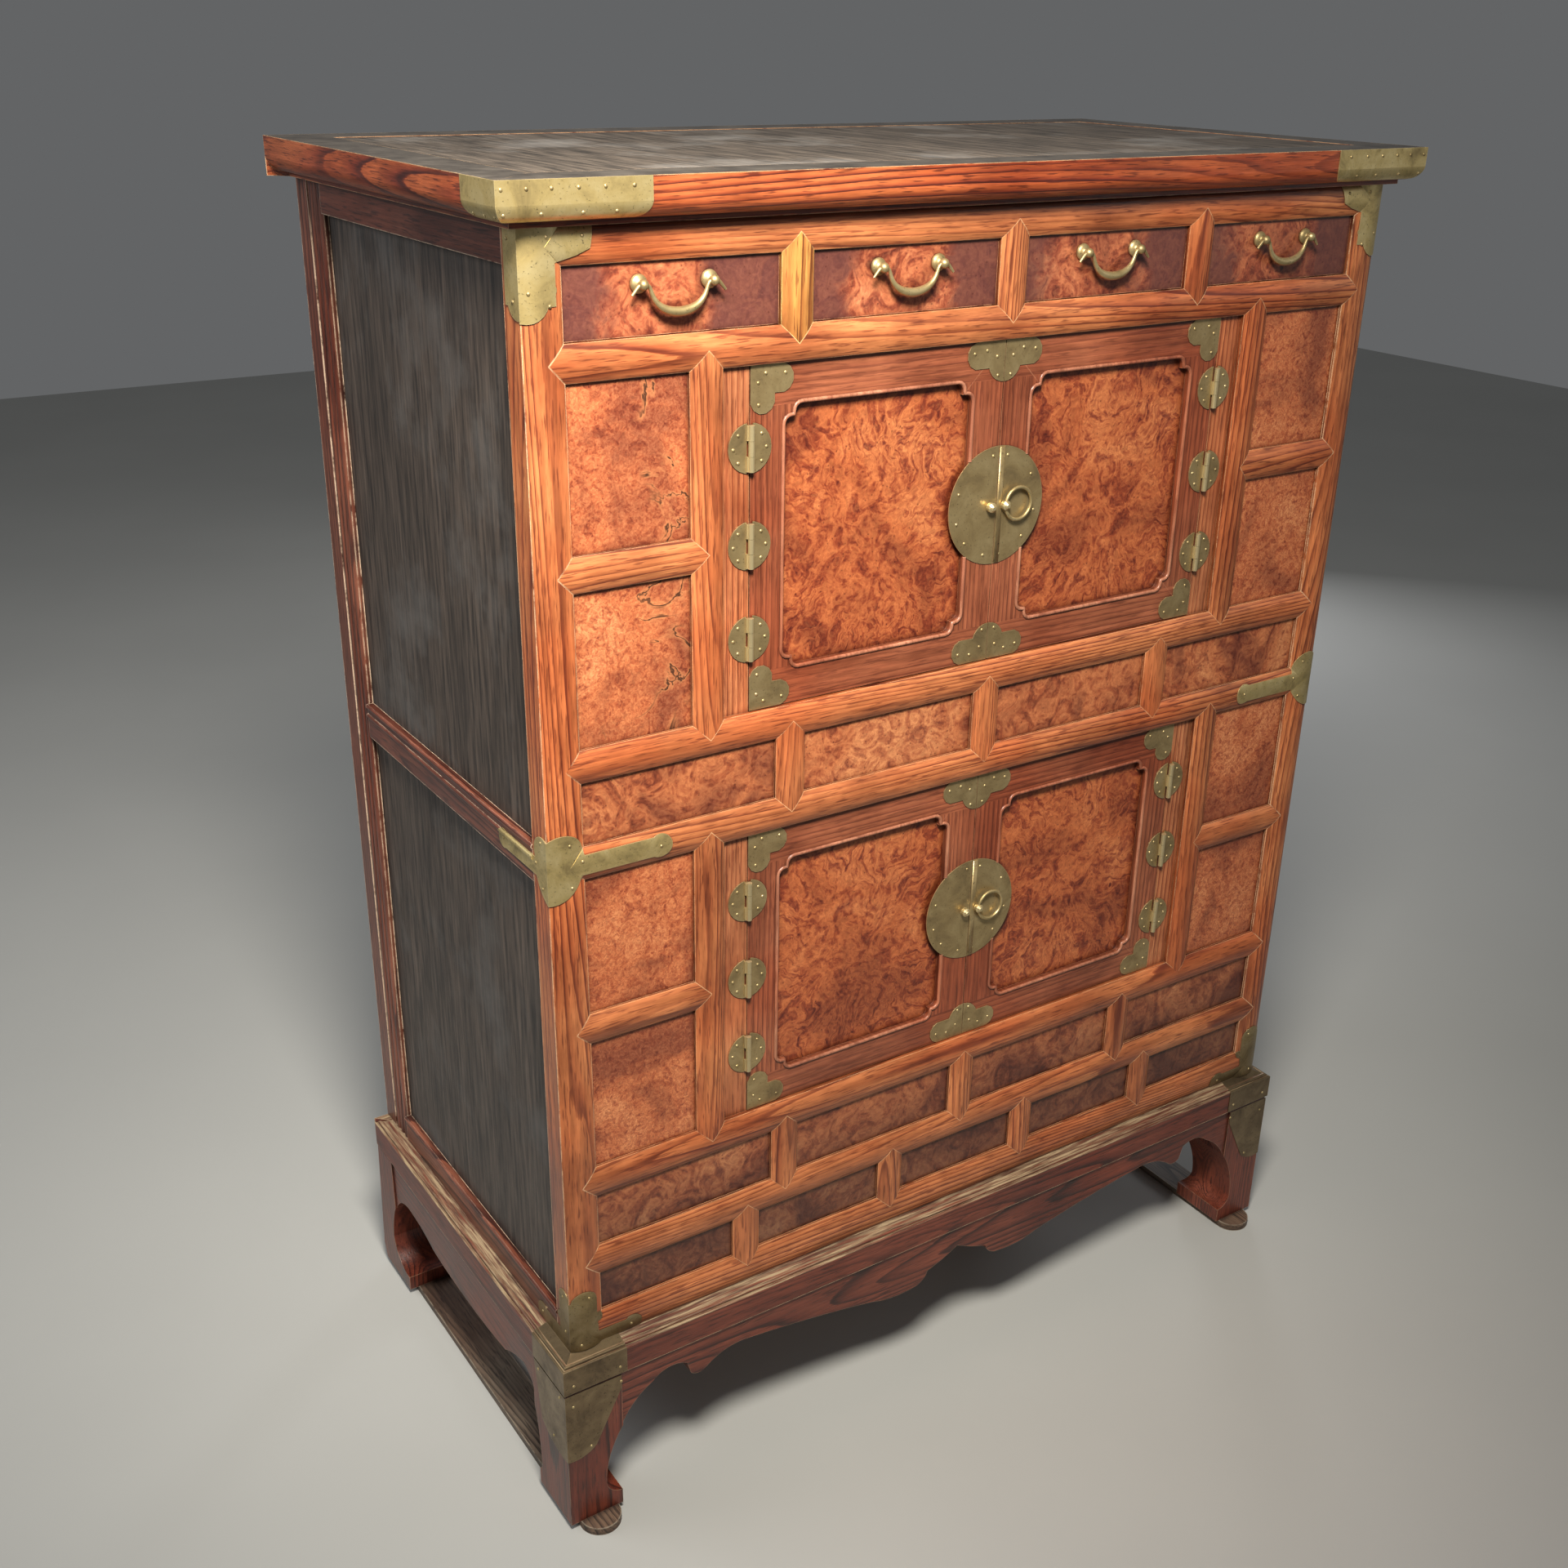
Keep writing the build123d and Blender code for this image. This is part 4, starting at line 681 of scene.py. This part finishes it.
def cusped_path(x0, x1, z0, z1):
    """The corners of a door opening, each two round shoulders with a point between."""
    shoulder = []
    for step in range(5):
        angle = pi / 2 * step / 4
        shoulder.append((
            cusp_step + cusp_radius * (1 - sin(angle)), cusp_radius * (1 - cos(angle))
        ))
    corner = shoulder + [(cusp_step, cusp_step)]
    corner += [(across, up) for up, across in reversed(shoulder)]
    path = []
    for x, z, dx, dz, level_first in (
        (x0, z0, 1, 1, False), (x1, z0, -1, 1, True), (x1, z1, -1, -1, False), (x0, z1, 1, -1, True),
    ):
        points = corner if level_first else reversed(corner)
        path += [(x + dx * across, z + dz * up) for across, up in points]
    return path


def curve_piece(name, body, points, radius, material, closed=True):
    """A round moulding or wire along (place, thickness factor) points, riding on a body."""
    data = bpy.data.curves.new(name, "CURVE")
    data.dimensions = "3D"
    data.bevel_depth = radius
    data.bevel_resolution = 4
    data.use_fill_caps = True
    spline = data.splines.new("POLY")
    spline.points.add(len(points) - 1)
    spline.use_cyclic_u = closed
    for point, (place, factor) in zip(spline.points, points):
        point.co = (*place, 1)
        point.radius = factor
    source = bpy.data.objects.new(f"{name}_line", data)
    bpy.context.collection.objects.link(source)
    mesh = bpy.data.meshes.new_from_object(source)
    bpy.data.objects.remove(source)
    mesh.materials.clear()
    mesh.materials.append(material)
    for face in mesh.polygons:
        face.use_smooth = True
    piece = bpy.data.objects.new(name, mesh)
    bpy.context.collection.objects.link(piece)
    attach(piece, body)
    return piece


bead_wood = figured_wood(
    "bead_wood", "z", ((0.30, 0.11, 0.065), (0.38, 0.155, 0.092), (0.46, 0.21, 0.13)),
    (0.66, 0.40, 0.27), 0.32, pitch=0.05, waver=2,
)
tiers = ("lower", "upper")
sides = ((-1, "left"), (1, "right"))
for index, tier in enumerate(tiers):
    for way, side in sides:
        (x0, face_y, z0), (x1, _, z1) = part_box(f"{tier}_{side}_door_frame")
        door_wood = figured_wood(
            f"{tier}_{side}_door_wood", "z", door_tones, (0.50, 0.22, 0.12), 0.34,
            pitch=0.005, waver=5, wear=0.6,
            turned=("x", past_levels, z0 + door_member, z1 - door_member),
        )
        paint(door_wood, f"{tier}_{side}_door_frame")
        flame = burl(
            f"{tier}_{side}_flame", flame_tones, 40, 0.34, shift=(way * 2, index, 5),
            centre=((x0 + x1) / 2 + fan_aside * way, (z0 + z1) / 2 - fan_drop * index),
        )
        paint(flame, f"{tier}_{side}_door_panel")
        reach = door_member - bead_radius * bead_overlap
        path = cusped_path(x0 + reach, x1 - reach, z0 + reach, z1 - reach)
        if way < 0:
            path = path[len(path) // 2:] + path[:len(path) // 2]
        meeting = x0 + reach if way > 0 else x1 - reach
        middle = (z0 + z1) / 2
        break_half = sqrt(lock_plate_radius ** 2 - meeting ** 2)
        path.insert(0, (meeting, middle - way * break_half))
        path.append((meeting, middle + way * break_half))
        bead = curve_piece(
            f"{tier}_{side}_door_bead", f"{tier}_{side}_door",
            [((x, face_y + bead_seat, z), 1.0) for x, z in path], bead_radius, bead_wood, False,
        )


# ---------------------------------------------------------------- brass plates
# Sheet brass cut to lobed outlines and nailed on: caps and plates on the corners,
# hinge leaves and lock plates. It is olive with age and rubbed bright on its edges.
def aged_brass(name, base, bright, dirt, shine=0.36, highlight_and_polish_past=None, painted_shade_below=None):
    """Mottled brass; past a plane in front of its sheet, as on the hinge knuckles, it is painted
    bright: a painted highlight, and polish from hands. Below a height it may be darkened as painted
    shade.
    """
    material, tree, shader = new_finish(name)
    shader.inputs["Metallic"].default_value = 0.75
    vector = stretched(tree, (1, 1, 1))
    cloud = noise(tree, vector, 34, 6, 0.62, 0.5)
    fine = noise(tree, vector, 420, 4, 0.6)
    body = ramp(tree, cloud, (0.26, dirt), (0.46, base), (0.80, bright))
    spotted = mix(tree, mask(tree, fine, 0.60, 0.74), body, tuple(0.5 * part for part in dirt))
    colour = mix(tree, worn_edges(tree, 0.0008), spotted, bright)
    if highlight_and_polish_past:
        # painted highlight, and polish, on the parts proud of the sheet such as the hinge knuckles
        proud = value(tree, "LESS_THAN", part_of_place(tree, "Y"), highlight_and_polish_past)
        colour = mix(tree, times(tree, proud, 0.8), colour, (0.72, 0.60, 0.34))
    if painted_shade_below:
        # painted shade: the brass darker towards the bottom, where the light falls off near the
        # floor
        low = mask(tree, part_of_place(tree, "Z"), painted_shade_below, painted_shade_below - 0.12)
        colour = mix(tree, low, colour, tinted(tree, colour, (0.36, 0.34, 0.38)))
    feed(tree, shader.inputs["Base Color"], colour)
    gloss = uneven_gloss(tree, cloud, shine + 0.14, shine - 0.06)
    feed(tree, shader.inputs["Roughness"], gloss)
    bumped(tree, shader, fine, 0.2, 0.0003)
    return material


sheet_front = -0.2318
sheet_back = -0.2307
# the plates on the posts and the cornice carry painted shade below 0.38 m
plate_brass = aged_brass(
    "plate_brass", (0.62, 0.475, 0.20), (0.92, 0.76, 0.40), (0.28, 0.21, 0.095), painted_shade_below=0.38
)
stand_plate_brass = aged_brass(
    "stand_plate_brass", (0.175, 0.125, 0.070), (0.30, 0.225, 0.125), (0.09, 0.064, 0.038)
)
# the door brass has a painted highlight on its hinge knuckles, in front of the sheet
door_brass = aged_brass(
    "door_brass", (0.43, 0.315, 0.148), (0.68, 0.53, 0.275), (0.23, 0.168, 0.085),
    highlight_and_polish_past=sheet_front,
)
handled_brass = aged_brass(
    "handled_brass", (0.43, 0.33, 0.155), (0.70, 0.57, 0.31), (0.20, 0.15, 0.07), 0.42
)
paint(plate_brass, "top_corner_brass", "post_brass")
paint(stand_plate_brass, "stand_brass")
paint(door_brass, "hinge_leaves")
for tier in tiers:
    for _, side in sides:
        paint(door_brass, f"{tier}_{side}_door_brass")

# ---------------------------------------------------------------- lock strips
# A raised strip of the same brass, soldered along the meeting edge of each right
# lock plate. Its back is rounded and its ends are flat.
strip_left = 0.0008
strip_width = 0.0062
strip_rise = 0.0011
strip_half = 0.0553
strip_steps = 8
for tier in tiers:
    low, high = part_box(f"{tier}_right_door_brass")
    middle = (low[2] + high[2]) / 2
    form = bmesh.new()
    rows = []
    for z in (middle - strip_half, middle + strip_half):
        row = []
        for step in range(strip_steps + 1):
            angle = pi * step / strip_steps
            across = strip_left + strip_width * (1 - cos(angle)) / 2
            row.append(form.verts.new((across, sheet_back - strip_rise * sin(angle) ** 0.5, z)))
        rows.append(row)
    for corners in zip(rows[0], rows[0][1:], rows[1][1:], rows[1]):
        form.faces.new(corners).smooth = True
    form.faces.new(rows[0])
    form.faces.new(list(reversed(rows[1])))
    bmesh.ops.recalc_face_normals(form, faces=form.faces)
    strip = piece_from(form, f"{tier}_lock_strip", door_brass)
    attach(strip, f"{tier}_right_door")

# ---------------------------------------------------------------- nails
# Every plate is held by small domed brass nails, driven near its edges and set
# here square to the plate, wherever its face lies.
nail_radius = 0.0017
nail_height = 0.0011
nail_sink = 0.0001


def surfaces_of(names):
    """Trees of the CAD meshes, to find where a plate's face lies."""
    return [
        BVHTree.FromPolygons(
            [vertex.co.copy() for vertex in nodes[name].data.vertices],
            [tuple(face.vertices) for face in nodes[name].data.polygons],
        )
        for name in names
    ]


def circle(radius, steps):
    return [
        (radius * cos(tau * step / steps), radius * sin(tau * step / steps))
        for step in range(steps)
    ]


def skin(form, first, second):
    """Smooth faces between two rings of points."""
    for step in range(len(first)):
        after = (step + 1) % len(first)
        form.faces.new((first[step], first[after], second[after], second[step])).smooth = True


def dome(form, centre, normal, rings=3, around=10):
    """A low round nail head standing on a face."""
    turn = normal.to_track_quat("Z", "Y").to_matrix()
    previous = None
    for ring in range(rings):
        angle = pi / 2 * ring / rings
        rise = nail_height * sin(angle)
        loop = [
            form.verts.new(centre + turn @ Vector((x, y, rise)))
            for x, y in circle(nail_radius * cos(angle), around)
        ]
        if previous:
            skin(form, previous, loop)
        previous = loop
    tip = form.verts.new(centre + turn @ Vector((0, 0, nail_height)))
    for step in range(around):
        form.faces.new((previous[step], previous[(step + 1) % around], tip)).smooth = True


def nail_heads(name, body, plates, spots):
    """Nails at places found by looking along a direction on to the plates."""
    form = bmesh.new()
    trees = surfaces_of(plates)
    for start, look in spots:
        start, look = Vector(start), Vector(look)
        found = [tree.ray_cast(start, look) for tree in trees]
        found = [hit for hit in found if hit[0] is not None]
        if found:
            point, normal, _, _ = min(found, key=lambda hit: hit[3])
            outward = normal if normal.dot(look) < 0 else -normal
            dome(form, point - outward * nail_sink, outward)
    piece = piece_from(form, name, handled_brass)
    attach(piece, body)


before_chest = -0.40
beside_chest = 0.60


def from_front(x, z):
    return (x, before_chest, z), (0, 1, 0)


def from_side(way, y, z):
    return (way * beside_chest, y, z), (-way, 0, 0)


hinge_pitch = 0.0845
hinge_reach = 0.0165
knuckle_radius = 0.0028


def leaf_spots(hinge, way, middle):
    """Three nails round each of the three leaves on one side of a hinge line."""
    return [
        from_front(
            hinge + way * hinge_reach * cos(radians(angle)),
            middle + step * hinge_pitch + hinge_reach * sin(radians(angle)),
        )
        for step in (-1, 0, 1)
        for angle in (-45, 0, 45)
    ]


# nails of a door's corner plates: in from its side, and from its top or bottom
corner_spots = ((0.0155, 0.007), (0.035, 0.008), (0.008, 0.0145), (0.0085, 0.033))
meeting_spots = ((0.007, 0.031), (0.009, 0.014), (0.021, 0.008), (0.035, 0.010))
# nails of a lock plate: out from its centre, and in degrees round it
lock_reach = 0.048
lock_angles = {"left": (98, 161, 195, 222, 255), "right": (77, 32, -12, -45, -82)}
for tier in tiers:
    for way, side in sides:
        (x0, _, z0), (x1, _, z1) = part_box(f"{tier}_{side}_door_brass")
        hinge, meeting = (x0, x1) if way < 0 else (x1, x0)
        hinge -= way * knuckle_radius
        middle = (z0 + z1) / 2
        places = [(hinge - way * across, up) for across, up in corner_spots]
        places += [(meeting + way * across, up) for across, up in meeting_spots]
        spots = [from_front(x, z) for x, up in places for z in (z0 + up, z1 - up)]
        spots += leaf_spots(hinge, -way, middle)
        for angle in lock_angles[side]:
            spots.append(from_front(
                lock_reach * cos(radians(angle)), middle + lock_reach * sin(radians(angle))
            ))
        nail_heads(
            f"{tier}_{side}_door_nails", f"{tier}_{side}_door", [f"{tier}_{side}_door_brass"],
            spots,
        )

# nails of the chest's plates: in from its side or its front, and up from the floor
case_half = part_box("front_posts")[1][0]
case_front = -0.234
(_, leg_front, _), (leg_half, _, _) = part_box("stand_legs")
post_front_spots = (
    (0.022, 1.274), (0.052, 1.274), (0.023, 1.224), (0.006, 1.234),
    (0.020, 0.773), (0.032, 0.755), (0.110, 0.7507), (0.021, 0.732),
    (0.020, 0.281), (0.066, 0.228), (0.010, 0.226),
)
post_side_spots = (
    (0.010, 1.227), (0.016, 1.272), (0.010, 0.775), (0.021, 0.752), (0.009, 0.731),
    (0.088, 0.7487), (0.011, 0.281), (0.060, 0.228), (0.008, 0.240),
)
cap_front_spots = (
    (0.004, 1.3105), (0.024, 1.3105), (0.044, 1.3105), (0.066, 1.3105), (0.088, 1.3105),
    (0.112, 1.3105), (0.006, 1.2925), (0.036, 1.2925), (0.070, 1.2925), (0.098, 1.2925),
)
cap_side_spots = ((0.008, 1.2905), (0.026, 1.2905), (0.046, 1.2905))
leg_front_spots = ((0.062, 0.172), (0.026, 0.105), (0.008, 0.165))
leg_side_spots = ((0.012, 0.172), (0.060, 0.172), (0.030, 0.108))
moulding_spots = ((0.010, 0.192), (0.062, 0.192))
spots = []
for way, _ in sides:
    for tier in tiers:
        (_, _, z0), (x1, _, z1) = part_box(f"{tier}_right_door_brass")
        spots += leaf_spots(way * (x1 - knuckle_radius), way, (z0 + z1) / 2)
    for half, places in (
        (case_half, post_front_spots), (cornice_half, cap_front_spots),
        (leg_half, leg_front_spots), (stand_half, moulding_spots),
    ):
        spots += [from_front(way * (half - across), z) for across, z in places]
    for front, places in (
        (case_front, post_side_spots), (cornice_front, cap_side_spots),
        (leg_front, leg_side_spots),
    ):
        spots += [from_side(way, front + back, z) for back, z in places]
nail_heads(
    "case_nails", "chest", ["hinge_leaves", "post_brass", "top_corner_brass", "stand_brass"], spots
)

# ---------------------------------------------------------------- pull rings
# Each ring is bent wire in the bored ball of a right door, and is turned over the
# left door's ball to latch the pair. The balls stand on the lock plates.
ball_offset = 0.0087
ball_radius = 0.00475
ring_ease = 0.98
ring_steps = 40
outward = Vector((0, -1, 0)).to_track_quat("Z", "Y").to_matrix()


def turned_brass(form, rows, centre, around=28):
    """A turned piece that points to the front: (distance from its foot, radius) rows."""
    loops = []
    for distance, radius in rows:
        loops.append([
            form.verts.new(Vector(centre) + outward @ Vector((x, y, distance)))
            for x, y in circle(radius, around)
        ])
    for first, second in zip(loops, loops[1:]):
        skin(form, first, second)
    form.faces.new(list(reversed(loops[0])))
    form.faces.new(loops[-1])


def ball_rows(centre, radius, steps=9):
    return [
        (centre - radius * cos(pi * step / steps), max(radius * sin(pi * step / steps), 0.0001))
        for step in range(steps + 1)
    ]


for tier in tiers:
    low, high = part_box(f"{tier}_ring")
    middle = [(low[axis] + high[axis]) / 2 for axis in range(3)]
    wire = (high[1] - low[1]) / 2
    radius = (high[2] - low[2]) / 2 - wire
    loop = [
        ((middle[0] + x, middle[1], middle[2] + z), 1.0) for x, z in circle(radius, ring_steps)
    ]
    ring = curve_piece(f"{tier}_pull_ring", f"{tier}_ring", loop, wire * ring_ease, handled_brass)
    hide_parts(f"{tier}_ring")
    for way, side in sides:
        form = bmesh.new()
        turned_brass(form, ball_rows(0, ball_radius), (way * ball_offset, middle[1], middle[2]))
        ball = piece_from(form, f"{tier}_{side}_ball", handled_brass)
        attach(ball, f"{tier}_{side}_door")

# ---------------------------------------------------------------- bails
# A bail is a forged crescent with swan necks that turns in two eyes. Each eye is a
# ball that stands on a domed rosette on the drawer front.
bail_wire = 0.0025
eye_place = 0.0090
eye_radius = 0.0044
rosette_rows = [
    (0.0, 0.0074), (0.0008, 0.0076), (0.0018, 0.0074), (0.0029, 0.0066), (0.0038, 0.0052),
    (0.0044, 0.0036), (0.0052, 0.0030),
]
eye_rows = rosette_rows + ball_rows(eye_place, eye_radius)[2:]
# half a bail from its end to its middle: share of the spread, drop and thickness factor
bail_line = [
    (1.32, -0.0076, 0.50), (1.22, -0.0040, 0.62), (1.13, -0.0006, 0.72), (1.05, 0.0, 0.74),
    (0.90, 0.0004, 0.72), (0.82, -0.0022, 0.66), (0.78, -0.0065, 0.72), (0.70, -0.0125, 0.92),
    (0.52, -0.0180, 1.25), (0.27, -0.0212, 1.55), (0.0, -0.0222, 1.65),
]
for number in range(1, 5):
    (x0, _, z0), (x1, drawer_face, z1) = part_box(f"drawer_{number}_posts")
    middle, bail_z = (x0 + x1) / 2, (z0 + z1) / 2
    spread = (x1 - x0) / 2 - (z1 - z0) / 2
    (_, y0, _), (_, y1, _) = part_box(f"drawer_{number}_bail")
    bail_y = (y0 + y1) / 2
    right_half, left_half = (
        [
            ((middle + way * spread * share, bail_y, bail_z + drop), size)
            for share, drop, size in bail_line
        ]
        for way in (1, -1)
    )
    whole = left_half[:-1] + list(reversed(right_half))
    bail = curve_piece(
        f"drawer_{number}_handle", f"bail_{number}", whole, bail_wire, handled_brass, False
    )
    bail.modifiers.new("smooth", "SUBSURF").levels = 1
    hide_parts(f"drawer_{number}_bail")
    form = bmesh.new()
    for way, _ in sides:
        turned_brass(form, eye_rows, (middle + way * spread, drawer_face, bail_z))
    rosettes = piece_from(form, f"drawer_{number}_rosettes", handled_brass)
    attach(rosettes, f"drawer_{number}")
    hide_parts(f"drawer_{number}_posts")
